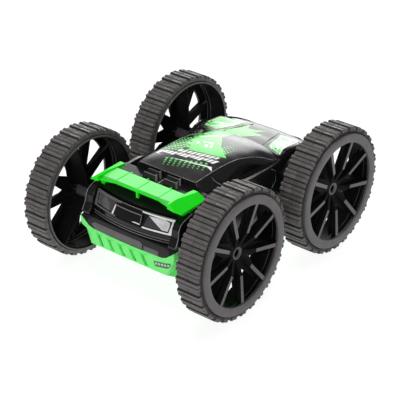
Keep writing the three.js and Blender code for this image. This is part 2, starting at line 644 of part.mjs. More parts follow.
// Plan of the lower body: nearly flat across the tail, and the same nose as the upper body.
function lowerPlan(inset) {
  const side = BODY_HALF_WIDTH - inset;
  const right = [[42 - inset, -102.5 + inset], [side, -100 + inset], [side, 20]];
  const front = nosePlan.map(([x, y]) => [x - inset, y - inset]);
  return mirrored([[12, -104 + inset], ...right, ...front]);
}

const SLOT_COUNT = 5;
const SLOT_PITCH = 12.6;
const SWITCH_X = -17;
const SWITCH_Y = 42;
const SWITCH_TRAVEL = 3;

function lowerShell() {
  const outer = join(belly(0), allPods(POD_RADIUS, POD_END_X));
  const hollow = join(belly(WALL), allPods(POD_RADIUS - WALL, POD_END_X - WALL));
  const slots = Array.from({ length: SLOT_COUNT }, (_, i) => {
    const x = -30.5 + i * SLOT_PITCH;
    return prism("y", [[x - 3.8, 45.5], [x - 1.2, 45.5], [x + 3.4, 35.5], [x + 0.8, 35.5]], -130, -92);
  });
  const doorRoom = block(-DOOR_HALF_WIDTH, DOOR_HALF_WIDTH, DOOR_REAR_Y, DOOR_FRONT_Y, 0, BOTTOM_Z + 3);
  const switchRoom = block(SWITCH_X - 6, SWITCH_X + 6, SWITCH_Y - 3, SWITCH_Y + 3, 0, 30);
  const axleHoles = bothSides(join(pods(4.9, 70, AXLE_Y), pods(4.9, 70, -AXLE_Y)));
  const bumperRoom = prism("y", bumperFront(GAP), -130, BUMPER_FRONT_Y + GAP);
  const bumperTop = block(-60, 60, -130, BUMPER_FRONT_Y + GAP, BUMPER_TOP_Z - 6, 80);
  const skin = cut(
    outer, hollow, ...slots, doorRoom, switchRoom, axleHoles, bumperRoom, bumperTop, above(SPLIT_Z - GAP / 2),
  );
  const screwPillar = join(
    block(-5, 5, DOOR_FRONT_Y + 0.6, 42, BOTTOM_Z + 1, 28),
    block(-5, 5, DOOR_SCREW_Y - 4, 42, BOTTOM_Z + WALL + 0.4, 28),
  );
  return join(skin, cut(screwPillar, rodZ(1.6, 0, 27, 0, DOOR_SCREW_Y)));
}

addPart("upper_shell", upperShell(), shellBlack);
addPart("lower_shell", lowerShell(), limeGreen);

// ---- Tail ----
function tailPanel() {
  const [top, knee, foot] = tailFace(0);
  const plate = bowed([top, knee, foot, ...tailFace(3.2).reverse()], -TAIL_HALF_WIDTH, TAIL_HALF_WIDTH);
  const plateRecess = bowed([[-96, 79.4], [-96, 71.4], [-91.9, 71.4], [-88.2, 79.4]], -15, 15, 4);
  const lampRoom = bothSides(block(LAMP_X0, LAMP_X1, -120, -80, LAMP_Z0, LAMP_Z1));
  return cut(plate, plateRecess, lampRoom);
}

const LAMP_X0 = 20;
const LAMP_X1 = 41;
const LAMP_Z0 = 69.4;
const LAMP_Z1 = 80.4;

function tailLamp(sign) {
  const faces = [...tailFace(0.4).slice(0, 2), ...tailFace(3.2).slice(0, 2).reverse()];
  const room = block(LAMP_X0 + GAP, LAMP_X1 - GAP, -120, -80, LAMP_Z0 + GAP, LAMP_Z1 - GAP);
  return bowed(faces, -TAIL_HALF_WIDTH, TAIL_HALF_WIDTH).intersect(sign > 0 ? room : mirrorX(room));
}

function rearBumper() {
  const side = BODY_HALF_WIDTH;
  const plan = mirrored([[26, -104.2], [44, -104], [side, -103.2], [side, BUMPER_FRONT_Y]]);
  const bar = prism("z", plan, 40, 80).intersect(prism("y", bumperFront(0), -130, -90));
  const back = block(-BODY_HALF_WIDTH + 4, BODY_HALF_WIDTH - 4, -101, -90, 40, 90);
  return cut(bar, back);
}

// Tail panel and bumper meet the shells along their front faces.
addPart("tail_panel", tailPanel(), glossBlack);
addPart("tail_lamp_right", tailLamp(1), lampPlastic);
addPart("tail_lamp_left", tailLamp(-1), lampPlastic);
addPart("rear_bumper", rearBumper(), shellBlack);

// ---- Rear wing and engine cover ----
function rearWing() {
  const tip = WING_HALF_WIDTH + 4;
  const plan = mirrored([[WING_HALF_WIDTH + 0.5, WING_FRONT_Y], [tip, -93.5], [24, WING_REAR_Y - 1.5]]);
  const plate = prism("z", plan, WING_TOP_Z - WING_THICKNESS, WING_TOP_Z);
  const endSection = [[38.5, 92.8], [38.5, 97.2], [40.5, 98], [51, 90], [50.4, 87.2], [44, 92]];
  const endSide = [[-60, 95.6], [-58.7, 90], [-85, 85], [-94, 92], [-94, 99]];
  const endPlate = prism("y", endSection, -95, -58).intersect(prism("x", endSide, 30, 60));
  const foot = block(41, 45, -84, -74, 80, WING_TOP_Z - 1);
  const peg = block(-1.2, 1.2, WING_REAR_Y - 1, WING_REAR_Y + 1, 87, WING_TOP_Z - 1);
  return cut(join(plate, bothSides(join(endPlate, foot)), peg), lowBodyClear());
}

// Everything that the wing's posts and the engine cover stand on, grown by the clearance.
const lowBodyClear = () => lowBody(-GAP, 40);

function engineCover() {
  const base = block(-21, 21, -65, -49.5, DECK_Z + GAP, DECK_Z + 1);
  const front = block(4, 16.5, -55, -51.5, DECK_Z + 0.5, DECK_Z + 6);
  const rear = block(4.5, 19.7, -62.5, -58.5, DECK_Z + 0.5, DECK_Z + 6);
  return join(base, bothSides(join(front, rear)));
}

addPart("rear_wing", rearWing(), limeGreen);
addPart("engine_cover", engineCover(), glossBlack);

// ---- Battery door, power switch, lamps' LEDs and shell screws ----
function batteryDoor() {
  const plate = block(
    -DOOR_HALF_WIDTH + GAP, DOOR_HALF_WIDTH - GAP, DOOR_REAR_Y + GAP, DOOR_FRONT_Y - GAP,
    BOTTOM_Z, BOTTOM_Z + WALL,
  );
  const tabs = bothSides(block(8, 13, DOOR_REAR_Y - 3, DOOR_REAR_Y + 5, BOTTOM_Z + WALL + GAP, BOTTOM_Z + 4));
  const tabRoots = bothSides(block(8, 13, DOOR_REAR_Y + 1, DOOR_REAR_Y + 5, BOTTOM_Z + 1, BOTTOM_Z + 4));
  const screwHole = rodZ(1.8, 0, 30, 0, DOOR_SCREW_Y);
  const headRoom = rodZ(3.2, 0, BOTTOM_Z + 1.4, 0, DOOR_SCREW_Y);
  return cut(join(plate, tabs, tabRoots), screwHole, headRoom);
}

// A cross-head screw standing along Z, with its head's top at headZ; up is 1, or -1 for a head below.
function screw(headRadius, shankRadius, length, headZ, up, x, y) {
  const head = rodZ(headRadius, -1.6, 0, 0, 0);
  const shank = rodZ(shankRadius, -length, -1, 0, 0, 10);
  const slot = block(-headRadius * 0.7, headRadius * 0.7, -0.35, 0.35, -0.7, 1);
  const made = cut(join(head, shank), slot, slot.rotate([0, 0, 90]));
  return (up > 0 ? made : made.rotate([180, 0, 0])).translate([x, y, headZ]);
}

function switchHousing() {
  const shell = block(SWITCH_X - 9, SWITCH_X + 9, SWITCH_Y - 4.5, SWITCH_Y + 4.5, BOTTOM_Z + WALL + GAP, 29);
  return cut(shell, block(SWITCH_X - 5.5, SWITCH_X + 5.5, SWITCH_Y - 2.5, SWITCH_Y + 2.5, 10, 26));
}

// The slider rests at its -X end and moves SWITCH_TRAVEL towards +X.
function switchSlider() {
  const x0 = SWITCH_X - 5.5 + GAP;
  const x1 = x0 + 11 - 2 * GAP - SWITCH_TRAVEL;
  const foot = block(x0, x1, SWITCH_Y - 2.2, SWITCH_Y + 2.2, BOTTOM_Z + WALL + 1, 25.5);
  const knob = block(x0 + 2, x0 + 5.4, SWITCH_Y - 1.8, SWITCH_Y + 1.8, BOTTOM_Z - 0.6, 22);
  return join(foot, knob);
}

const tailLed = (sign) => prism("y", circle(2.5, 12, [sign * LED_X, LED_Z]), -90, -84.8);

addPart("battery_door", batteryDoor(), limeGreen);
addPart("battery_door_screw", screw(2.8, 1.3, 9, BOTTOM_Z - 0.5, -1, 0, DOOR_SCREW_Y), steel);
addPart("power_switch_housing", switchHousing(), innerPlastic);
addPart("power_switch_slider", switchSlider(), wireBlack);
addPart("tail_led_right", tailLed(1), ledClear);
addPart("tail_led_left", tailLed(-1), ledClear);
for (const { name, side, y } of corners) {
  addPart(`${name}_pod_screw`, screw(2.8, 1.1, 12, AXLE_Z + 17, 1, side * POD_SCREW_X, y), steel);
}

export default car;
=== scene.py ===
import math

import bmesh
import bpy
from mathutils import Matrix, Vector
from mathutils.bvhtree import BVHTree
from mathutils.geometry import delaunay_2d_cdt


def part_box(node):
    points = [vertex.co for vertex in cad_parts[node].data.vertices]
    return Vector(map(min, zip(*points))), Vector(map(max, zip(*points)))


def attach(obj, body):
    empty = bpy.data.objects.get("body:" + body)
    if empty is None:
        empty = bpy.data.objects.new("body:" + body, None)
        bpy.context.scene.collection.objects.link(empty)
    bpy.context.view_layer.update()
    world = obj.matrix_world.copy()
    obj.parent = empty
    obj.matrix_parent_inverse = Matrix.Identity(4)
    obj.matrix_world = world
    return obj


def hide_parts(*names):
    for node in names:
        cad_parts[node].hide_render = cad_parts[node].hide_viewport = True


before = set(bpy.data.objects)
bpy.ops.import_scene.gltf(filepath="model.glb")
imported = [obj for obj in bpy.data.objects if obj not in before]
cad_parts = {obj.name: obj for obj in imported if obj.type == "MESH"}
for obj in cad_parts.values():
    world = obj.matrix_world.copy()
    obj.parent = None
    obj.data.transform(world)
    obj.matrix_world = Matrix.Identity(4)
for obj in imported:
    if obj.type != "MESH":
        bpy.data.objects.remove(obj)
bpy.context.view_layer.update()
MM = 0.001
scene = bpy.context.scene
scene.view_settings.view_transform = "Standard"

# ---- Places read from the frame, in millimetres ----
# The body is drawn with its axles at one height and then raised to stand on its tyres.
DRAWN_AXLE_Z = 57.5
rim_low, rim_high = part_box("rear_right_rim")
LIFT = Vector((0, 0, (rim_low.z + rim_high.z) / 2 / MM - DRAWN_AXLE_Z))


def box_mm(node):
    low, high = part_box(node)
    return low / MM - LIFT, high / MM - LIFT


CORNERS = ("rear_right", "rear_left", "front_right", "front_left")
SIDES = ((1, "right"), (-1, "left"))
RIM_LOW, RIM_HIGH = box_mm("rear_right_rim")
AXLE_Z = (RIM_LOW.z + RIM_HIGH.z) / 2
WHEEL_FACE_X = RIM_HIGH.x
RIM_INNER_X = RIM_LOW.x
DRUM_RADIUS = (RIM_HIGH.z - RIM_LOW.z) / 2
TYRE_LOW, TYRE_HIGH = box_mm("rear_right_tyre")
TYRE_RADIUS = AXLE_Z - TYRE_LOW.z
SPLIT_Z = box_mm("upper_shell")[0].z
COVER_GAP = 0.3  # from the deck up to the foot of the engine cover
DECK_Z = box_mm("engine_cover")[0].z - COVER_GAP
PANEL_HIGH = box_mm("tail_panel")[1]

# ---- Camera, light and floor ----
AZIMUTH = math.radians(39.91)
ELEVATION = math.radians(29.48)
ROLL = math.radians(-1.10)
DISTANCE = 1.369
FOCAL_LENGTH = 138.4
SHIFT = (-0.0098, -0.0307)
WORLD_STRENGTH = 0.32
FLOOR_HALF = 4
FLOOR_TONE = 0.22
FLOOR_GLOW = 0.88


def fill(node, values):
    """Sets a shader node's inputs, or links them to another node's output."""
    for name, value in values.items():
        if isinstance(value, bpy.types.NodeSocket):
            node.id_data.links.new(value, node.inputs[name])
        else:
            node.inputs[name].default_value = value


def make_camera():
    level = math.cos(ELEVATION)
    back = Vector((math.sin(AZIMUTH) * level, -math.cos(AZIMUTH) * level, math.sin(ELEVATION)))
    data = bpy.data.cameras.new("camera")
    data.lens = FOCAL_LENGTH
    data.shift_x, data.shift_y = SHIFT
    data.clip_start = 0.05
    camera = bpy.data.objects.new("camera", data)
    scene.collection.objects.link(camera)
    camera.location = Vector((0, 0, AXLE_Z + LIFT.z)) * MM + back * DISTANCE
    turn = (-back).to_track_quat("-Z", "Y").to_matrix() @ Matrix.Rotation(ROLL, 3, "Z")
    camera.rotation_euler = turn.to_euler()
    scene.camera = camera


def area_light(name, place, aim, width, height, power):
    data = bpy.data.lights.new(name, "AREA")
    data.shape = "ELLIPSE"
    data.size = width
    data.size_y = height
    data.energy = power
    lamp = bpy.data.objects.new(name, data)
    scene.collection.objects.link(lamp)
    lamp.location = place
    direction = Vector(aim) - Vector(place)
    lamp.rotation_euler = direction.to_track_quat("-Z", "Y").to_euler()


def make_stage():
    world = bpy.data.worlds.new("studio")
    scene.world = world
    world.use_nodes = True
    fill(world.node_tree.nodes["Background"], {"Color": (1, 1, 1, 1), "Strength": WORLD_STRENGTH})
    area_light("key", (-0.2, 0.1, 1.9), (0, 0, 0.05), 1.6, 1.6, 18)
    area_light("backdrop", (-1.92, 2.3, 0.78), (0, 0, 0.78), 4.6, 1.76, 82)
    area_light("fill", (1.0, -2.0, 1.3), (0, 0, 0.06), 0.9, 0.9, 17)
    bm = bmesh.new()
    bmesh.ops.create_grid(bm, x_segments=4, y_segments=4, size=FLOOR_HALF)
    mesh = bpy.data.meshes.new("floor")
    bm.to_mesh(mesh)
    bm.free()
    floor = bpy.data.objects.new("floor", mesh)
    scene.collection.objects.link(floor)
    material = bpy.data.materials.new("floor_white")
    material.use_nodes = True
    looks = {
        "Base Color": (FLOOR_TONE, FLOOR_TONE, FLOOR_TONE, 1), "Roughness": 0.7, "Specular IOR Level": 0.2,
        "Emission Color": (1, 1, 1, 1), "Emission Strength": FLOOR_GLOW,
    }
    fill(material.node_tree.nodes["Principled BSDF"], looks)
    mesh.materials.append(material)


# ---- Materials ----
def ramp(tree, value, stops):
    """A colour ramp with two stops."""
    node = tree.nodes.new("ShaderNodeValToRGB")
    fill(node, {"Fac": value})
    for element, (place, color) in zip(node.color_ramp.elements, stops):
        element.position = place
        element.color = (*color, 1)
    return node.outputs["Color"]


def noise(tree, scale, detail, roughness=0.55, stretch=(1, 1, 1)):
    coordinates = tree.nodes.new("ShaderNodeTexCoord")
    mapping = tree.nodes.new("ShaderNodeMapping")
    fill(mapping, {"Vector": coordinates.outputs["Object"], "Scale": stretch})
    node = tree.nodes.new("ShaderNodeTexNoise")
    place = mapping.outputs["Vector"]
    fill(node, {"Vector": place, "Scale": scale, "Detail": detail, "Roughness": roughness})
    return node.outputs["Fac"]


def mix(tree, factor, first, second, kind="MIX"):
    """Mixes two colours; the node's colour sockets have the numbers 6 and 7, and 2 on its way out."""
    node = tree.nodes.new("ShaderNodeMix")
    node.data_type = "RGBA"
    node.blend_type = kind
    fill(node, {"Factor": factor, 6: first, 7: second})
    return node.outputs[2]


def spread(tree, value, low, high):
    node = tree.nodes.new("ShaderNodeMapRange")
    fill(node, {"Value": value, "From Min": 0.3, "From Max": 0.7, "To Min": low, "To Max": high})
    return node.outputs["Result"]


finishes = {}


def grey(tone):
    """A colour given as one number is a grey."""
    return (tone,) * 3 if isinstance(tone, float) else tone


# A moulded or metal finish, kept under its name: two close colours in broad patches, fine speckle, paler
# worn edges, uneven roughness and a fine grain in the bump.
def finish(
    name, dark, light, rough, patch=60, grain=1400, bump=0.08, wear=0.2, wear_amount=0.35, metal=0.0,
    specular=0.5, coat=0.0, ior=1.5, stretch=(1, 1, 1),
):
    material = bpy.data.materials.new(name)
    material.use_nodes = True
    tree = material.node_tree
    broad = noise(tree, patch, 5.0, 0.6, stretch)
    patches = ramp(tree, broad, [(0.35, grey(dark)), (0.68, grey(light))])
    speck = ramp(tree, noise(tree, grain * 0.6, 2.0, 0.7), [(0.3, grey(0.9)), (0.7, grey(1.0))])
    body = mix(tree, 1.0, patches, speck, "MULTIPLY")
    geometry = tree.nodes.new("ShaderNodeNewGeometry")
    edge = ramp(tree, geometry.outputs["Pointiness"], [(0.53, grey(0.0)), (0.62, grey(wear_amount))])
    scuffs = ramp(tree, noise(tree, patch * 5, 3.0), [(0.42, grey(0.25)), (0.62, grey(1.0))])
    worn = mix(tree, 1.0, edge, scuffs, "MULTIPLY")
    color = mix(tree, worn, body, (*grey(wear), 1))
    uneven = spread(tree, noise(tree, patch * 2.2, 6.0, 0.65, stretch), *rough)
    bumps = tree.nodes.new("ShaderNodeBump")
    fill(bumps, {"Strength": bump, "Distance": 0.0003, "Height": noise(tree, grain, 3.0, 0.6, stretch)})
    looks = {
        "Base Color": color, "Roughness": uneven, "Normal": bumps.outputs["Normal"], "Metallic": metal,
        "Specular IOR Level": specular, "IOR": ior, "Coat Weight": coat, "Coat Roughness": 0.08,
    }
    fill(tree.nodes["Principled BSDF"], looks)
    finishes[name] = material


def make_wheel_finishes():
    finish(
        "tread_rubber", (0.074, 0.066, 0.064), (0.108, 0.097, 0.094), (0.4, 0.62), 90, 1500, 0.3,
        (0.2, 0.19, 0.185), 0.5,
    )
    finish(
        "matte_black", (0.016, 0.015, 0.015), (0.026, 0.025, 0.024), (0.5, 0.7), 90, 1500, 0.2, 0.06, 0.2,
        specular=0.3,
    )
    finish("rim_plastic", (0.066, 0.06, 0.063), (0.09, 0.082, 0.086), (0.34, 0.46), 70, 2200, 0.05, 0.12, 0.5)
    # The rim's second finish is a painted shade: near black, for the inside of the barrel, the spokes' flanks
    # and inner lengths, and the webs and gussets behind the spokes.
    finish(
        "rim_painted_shade", (0.005, 0.0045, 0.005), (0.009, 0.0085, 0.009), (0.42, 0.55), 70, 1500, 0.03, 0.04,
        0.2, specular=0.16, ior=1.2,
    )


def make_body_finishes():
    finish(
        "black_shell", (0.008, 0.0074, 0.0076), (0.0115, 0.0108, 0.011), (0.16, 0.26), 45, 1800, 0.03,
        0.04, 0.2, specular=0.28,
    )
    finish("gloss_black", 0.004, 0.007, (0.05, 0.11), 50, 1200, 0.015, 0.03, 0.2, specular=0.3)
    finish(
        "green_shell", (0.002, 0.84, 0.003), (0.004, 0.94, 0.005), (0.34, 0.44), 40, 1700, 0.03,
        (0.03, 0.84, 0.04), 0.3, specular=0.2,
    )
    # The pale green is the shell's green with a painted sheen, for faces that catch the light.
    finish(
        "green_painted_sheen", (0.15, 0.94, 0.18), (0.19, 0.99, 0.22), (0.3, 0.4), 40, 1700, 0.03,
        (0.2, 0.9, 0.22), 0.3, specular=0.35,
    )
    # The mid and deep greens are the shell's green in painted shade.
    finish(
        "green_painted_shade", (0.004, 0.36, 0.006), (0.008, 0.44, 0.012), (0.34, 0.44), 50, 1700, 0.03,
        (0.1, 0.7, 0.1), 0.2,
    )
    finish(
        "green_painted_deep_shade", (0.004, 0.2, 0.006), (0.008, 0.26, 0.01), (0.3, 0.4), 50, 1700, 0.03,
        (0.1, 0.6, 0.1), 0.2,
    )
    finish("lamp_lens", 0.02, 0.034, (0.04, 0.09), 80, 900, 0.02, 0.3, 0.3, specular=0.7, coat=1.0)
    # The bright and the dim lamp glint are lit and shaded copies of one lamp, a painted reflection; the pale
    # frame finish is a painted highlight.
    finish("glint_painted_bright", 0.55, 0.9, (0.1, 0.2), 120, 900, 0.02, 0.7, 0.3)
    finish("glint_painted_dim", 0.07, 0.13, (0.1, 0.2), 120, 900, 0.02, 0.3, 0.3)
    finish("highlight_painted_pale", 0.82, 0.92, (0.2, 0.3), 90, 1500, 0.02, 0.8, 0.3)
    finish("edge_sheen", 0.13, 0.24, (0.15, 0.25), 60, 1500, 0.02, 0.4, 0.3)
    finish("strip_grey", (0.1, 0.094, 0.096), (0.13, 0.124, 0.126), (0.5, 0.62), 90, 2200, 0.08, 0.16)


def make_print_finishes():
    prints = {
        "print_green": ((0.03, 0.74, 0.035), (0.07, 0.86, 0.075), 55, (0.3, 0.9, 0.3)),
        "print_pale": ((0.12, 0.8, 0.13), (0.4, 0.92, 0.4), 90, (0.8, 0.95, 0.8)),
        "print_white": ((0.92, 0.94, 0.92), (0.98, 0.99, 0.98), 90, 0.95),
    }
    for name, (dark, light, patch, wear) in prints.items():
        finish(name, dark, light, (0.22, 0.3), patch, 1500, 0.02, wear, 0.2)


def make_inner_finishes():
    finish("inner_plastic", (0.02, 0.021, 0.024), (0.032, 0.033, 0.037), (0.45, 0.6), 60, 1200, 0.12)
    finish("gear_plastic", (0.72, 0.69, 0.6), (0.82, 0.8, 0.72), (0.4, 0.5), 80, 1500, 0.05, (0.9, 0.9, 0.86))
    finish(
        "steel", (0.42, 0.43, 0.45), (0.56, 0.57, 0.58), (0.22, 0.38), 200, 3000, 0.1, 0.8, metal=1.0,
        stretch=(1, 6, 6),
    )
    finish(
        "motor_can", (0.4, 0.41, 0.43), (0.55, 0.55, 0.56), (0.25, 0.4), 120, 2500, 0.08, 0.75, metal=1.0,
        stretch=(1, 5, 5),
    )
    finish(
        "brass", (0.45, 0.29, 0.1), (0.6, 0.42, 0.17), (0.25, 0.4), 150, 2500, 0.08, (0.8, 0.66, 0.35),
        metal=1.0,
    )
    finish(
        "circuit_board", (0.005, 0.09, 0.035), (0.012, 0.14, 0.05), (0.35, 0.5), 260, 1600, 0.1,
        (0.3, 0.28, 0.1),
    )
    finish("cell_wrap", (0.02, 0.12, 0.38), (0.03, 0.17, 0.5), (0.25, 0.4), 60, 900, 0.12, (0.2, 0.3, 0.6))
    finish("led_clear", 0.62, 0.75, (0.05, 0.12), 90, 900, 0.02, 0.9, coat=1.0)
    finish(
        "motor_lead", (0.38, 0.015, 0.012), (0.52, 0.03, 0.02), (0.4, 0.5), 200, 2000, 0.08,
        (0.6, 0.15, 0.1),
    )
    finish("wire", 0.008, 0.014, (0.4, 0.5), 200, 2000)
    finish("switch_black", 0.012, 0.02, (0.4, 0.5), 90, 2200, 0.15)


make_camera()
make_stage()
make_wheel_finishes()
make_body_finishes()
make_print_finishes()
make_inner_finishes()


# ---- Mesh helpers ----
# Turns a bmesh in millimetres into a piece that rides on a body.
def piece(name, bm, body="chassis", slot="black_shell", replaces=(), extra=(), sharp=32, material=None):
    bmesh.ops.remove_doubles(bm, verts=bm.verts, dist=0.002)
    bmesh.ops.dissolve_degenerate(bm, edges=bm.edges, dist=0.002)
    bmesh.ops.recalc_face_normals(bm, faces=bm.faces)
    bmesh.ops.translate(bm, vec=LIFT, verts=bm.verts)
    bmesh.ops.scale(bm, vec=(MM, MM, MM), verts=bm.verts)
    mesh = bpy.data.meshes.new(name)
    bm.to_mesh(mesh)
    bm.free()
    mesh.shade_smooth()
    mesh.set_sharp_from_angle(angle=math.radians(sharp))
    made = bpy.data.objects.new(name, mesh)
    scene.collection.objects.link(made)
    mesh.materials.append(finishes[material or slot])
    for other in extra:
        mesh.materials.append(finishes[other])
    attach(made, body)
    if replaces:
        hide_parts(*replaces)
    return made


def bevel(made, width, segments=2, angle=50):
    modifier = made.modifiers.new("edges", "BEVEL")
    modifier.width = width * MM
    modifier.segments = segments
    modifier.limit_method = "ANGLE"
    modifier.angle_limit = math.radians(angle)
    modifier.harden_normals = True
    modifier.use_clamp_overlap = True
    return made


# Gives a sheet a wall, inwards from its outer surface.
def thicken(made, thickness):
    modifier = made.modifiers.new("wall", "SOLIDIFY")
    modifier.thickness = thickness * MM
    modifier.offset = -1
    modifier.use_even_offset = True


# A CAD node that keeps its shape: planar faces joined, its edges rounded, and its finish set.
def keep(node, slot, width=0.25, material=None):
    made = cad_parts[node]
    made.data.materials.clear()
    made.data.materials.append(finishes[material or slot])
    planar = made.modifiers.new("faces", "DECIMATE")
    planar.decimate_type = "DISSOLVE"
    planar.angle_limit = math.radians(1.5)
    if width:
        bevel(made, width, 2, 32)
    smooth = made.modifiers.new("normals", "WEIGHTED_NORMAL")
    smooth.keep_sharp = True
    return made


def ring(bm, sections, wrap=True):
    """Joins closed sections, each a list of points, into a skin; wrap joins the last to the first."""
    rows = [[bm.verts.new(p) for p in section] for section in sections]
    for a, b in zip(rows, rows[1:] + (rows[:1] if wrap else [])):
        for i in range(len(a)):
            j = (i + 1) % len(a)
            bm.faces.new((a[i], a[j], b[j], b[i]))
    return rows


def capped(bm, sections):
    """Joins closed sections into a skin and closes both of its ends."""
    rows = ring(bm, sections, False)
    bm.faces.new(rows[0])
    bm.faces.new(rows[-1][::-1])


def sheet(bm, sections):
    """Joins open sections into a skin."""
    rows = [[bm.verts.new(p) for p in section] for section in sections]
    for a, b in zip(rows, rows[1:]):
        for i in range(len(a) - 1):
            bm.faces.new((a[i], a[i + 1], b[i + 1], b[i]))


def turned(bm, outline, segments):
    """A closed outline of (x, radius) points turned about the X axis."""
    angles = [2 * math.pi * k / segments for k in range(segments)]
    ring(bm, [[(x, r * math.cos(a), r * math.sin(a)) for x, r in outline] for a in angles])


def extrude(bm, outline, low, high, axis, material=0):
    """A closed outline extruded along an axis: (y, z) along x, (x, z) along y, (x, y) along z."""
    put = {
        "x": lambda a, b, t: (t, a, b),
        "y": lambda a, b, t: (a, t, b),
        "z": lambda a, b, t: (a, b, t),
    }[axis]
    ends = [[bm.verts.new(put(a, b, t)) for a, b in outline] for t in (low, high)]
    count = len(outline)
    faces = [bm.faces.new(ends[0]), bm.faces.new(ends[1][::-1])]
    for i in range(count):
        j = (i + 1) % count
        faces.append(bm.faces.new((ends[0][i], ends[0][j], ends[1][j], ends[1][i])))
    for face in faces:
        face.material_index = material
    return [v for end in ends for v in end]


def box(bm, x0, x1, y0, y1, z0, z1):
    extrude(bm, [(x0, y0), (x1, y0), (x1, y1), (x0, y1)], z0, z1, "z")


def curve(points):
    """A smooth function through (input, value) points, flat outside them, with no overshoot."""
    xs = [p[0] for p in points]
    ys = [p[1] for p in points]
    steps = [(ys[i + 1] - ys[i]) / (xs[i + 1] - xs[i]) for i in range(len(xs) - 1)]
    slopes = [steps[0]]
    for a, b in zip(steps, steps[1:]):
        slopes.append(0.0 if a * b <= 0 else 2 * a * b / (a + b))
    slopes.append(steps[-1])

    def value(x):
        if x <= xs[0]:
            return ys[0]
        if x >= xs[-1]:
            return ys[-1]
        i = max(k for k in range(len(xs) - 1) if xs[k] <= x)
        h = xs[i + 1] - xs[i]
        t = (x - xs[i]) / h
        return (
            (2 * t**3 - 3 * t**2 + 1) * ys[i]
            + (t**3 - 2 * t**2 + t) * h * slopes[i]
            + (3 * t**2 - 2 * t**3) * ys[i + 1]
            + (t**3 - t**2) * h * slopes[i + 1]
        )

    return value


def skin(made):
    """The finished outer surface of an object, to lay thin parts on."""
    bpy.context.view_layer.update()
    ready = made.evaluated_get(bpy.context.evaluated_depsgraph_get())
    mesh = ready.to_mesh()
    points = [ready.matrix_world @ v.co for v in mesh.vertices]
    faces = [tuple(f.vertices) for f in mesh.polygons]
    ready.to_mesh_clear()
    return BVHTree.FromPolygons(points, faces)


def falling(tree, axis, side=1):
    """Puts a flat drawing's points on a skin along an axis: from above, from behind or, with side -1,
    from the front, and from the right or left side."""
    far = {
        "z": lambda a, b: Vector((a, b, 160)),
        "y": lambda a, b: Vector((a, -side * 160, b)),
        "x": lambda a, b: Vector((side * 120, a, b)),
    }[axis]
    out = {"z": Vector((0, 0, 1)), "y": Vector((0, -side, 0)), "x": Vector((side, 0, 0))}[axis]

    def put(a, b):
        hit = tree.ray_cast((far(a, b) + LIFT) * MM, -out)[0]
        if hit is None:
            raise ValueError(f"no surface at {a:.1f}, {b:.1f}")
        return hit / MM - LIFT, out

    return put


def inside(outline, x, y):
    hit = False
    for (x0, y0), (x1, y1) in zip(outline, outline[1:] + outline[:1]):
        if (y0 > y) != (y1 > y) and x < x0 + (x1 - x0) * (y - y0) / (y1 - y0):
            hit = not hit
    return hit


def patch(bm, outline, put, lift, step=3.0, sink=0.12):
    """A thin closed part cut to a flat outline and laid on a surface, standing lift above it."""
    rim = []
    for (x0, y0), (x1, y1) in zip(outline, outline[1:] + outline[:1]):
        count = max(1, math.ceil(math.dist((x0, y0), (x1, y1)) / step))
        rim += [Vector((x0 + (x1 - x0) * k / count, y0 + (y1 - y0) * k / count)) for k in range(count)]
    low_x, high_x = min(p[0] for p in outline), max(p[0] for p in outline)
    low_y, high_y = min(p[1] for p in outline), max(p[1] for p in outline)
    inner = []
    for i in range(1, int((high_x - low_x) / step) + 1):
        for j in range(1, int((high_y - low_y) / step) + 1):
            x, y = low_x + i * step, low_y + j * step
            if inside(outline, x, y) and min(math.dist((x, y), p) for p in rim) > step * 0.4:
                inner.append(Vector((x, y)))
    edges = [(i, (i + 1) % len(rim)) for i in range(len(rim))]
    points, _, faces, *_ = delaunay_2d_cdt(rim + inner, edges, [], 1, 1e-5)
    used = sorted({i for f in faces for i in f})
    top, base = {}, {}
    for i in used:
        place, out = put(points[i].x, points[i].y)
        top[i] = bm.verts.new(place + out * lift)
        base[i] = bm.verts.new(place - out * sink)
    for face in faces:
        bm.faces.new([top[i] for i in face])
        bm.faces.new([base[i] for i in reversed(face)])
    sides = {(a, b): None for face in faces for a, b in zip(face, face[1:] + face[:1])}
    for a, b in sides:
        if (b, a) not in sides:
            bm.faces.new((top[b], top[a], base[a], base[b]))


def laid(
    name, outlines, put, lift, step=3.0, slot="black_shell", material=None, edge=0.0, angle=50, sharp=40,
    sink=0.12, replaces=(),
):
    """Thin parts cut to flat outlines and laid on a surface, as one piece of the body."""
    bm = bmesh.new()
    for outline in outlines:
        patch(bm, outline, put, lift, step, sink)
    made = piece(name, bm, "chassis", slot, replaces, sharp=sharp, material=material)
    if edge:
        bevel(made, edge, angle=angle)
    return made


def dot(x, y, radius, sides=8):
    angles = [2 * math.pi * k / sides for k in range(sides)]
    return [(x + radius * math.cos(a), y + radius * math.sin(a)) for a in angles]


def sided(outline, side):
    """An outline drawn for the right side, mirrored for the left."""
    return [(side * x, y) for x, y in outline]


# ---- Wheels ----
LUG_COUNT = 29
LUG_HEIGHT = 1.5
VALLEY_RADIUS = TYRE_RADIUS - LUG_HEIGHT
TYRE_BORE = DRUM_RADIUS + 0.35
# One tread period in degrees from the middle of a pair of ridges, with the height there from 0 to 1.
TREAD_PERIOD = [
    (-4.5, 0.1), (-3.9, 0.0), (-3.3, 0.75), (-2.9, 1.0), (-1.2, 1.0), (-0.75, 0.8), (-0.4, 0.4), (0.4, 0.4),
    (0.75, 0.8), (1.2, 1.0), (2.9, 1.0), (3.3, 0.75), (3.9, 0.0), (4.5, 0.1), (6.2, 0.16),
]
GROOVE_TURNS = (3.3, 4.5)


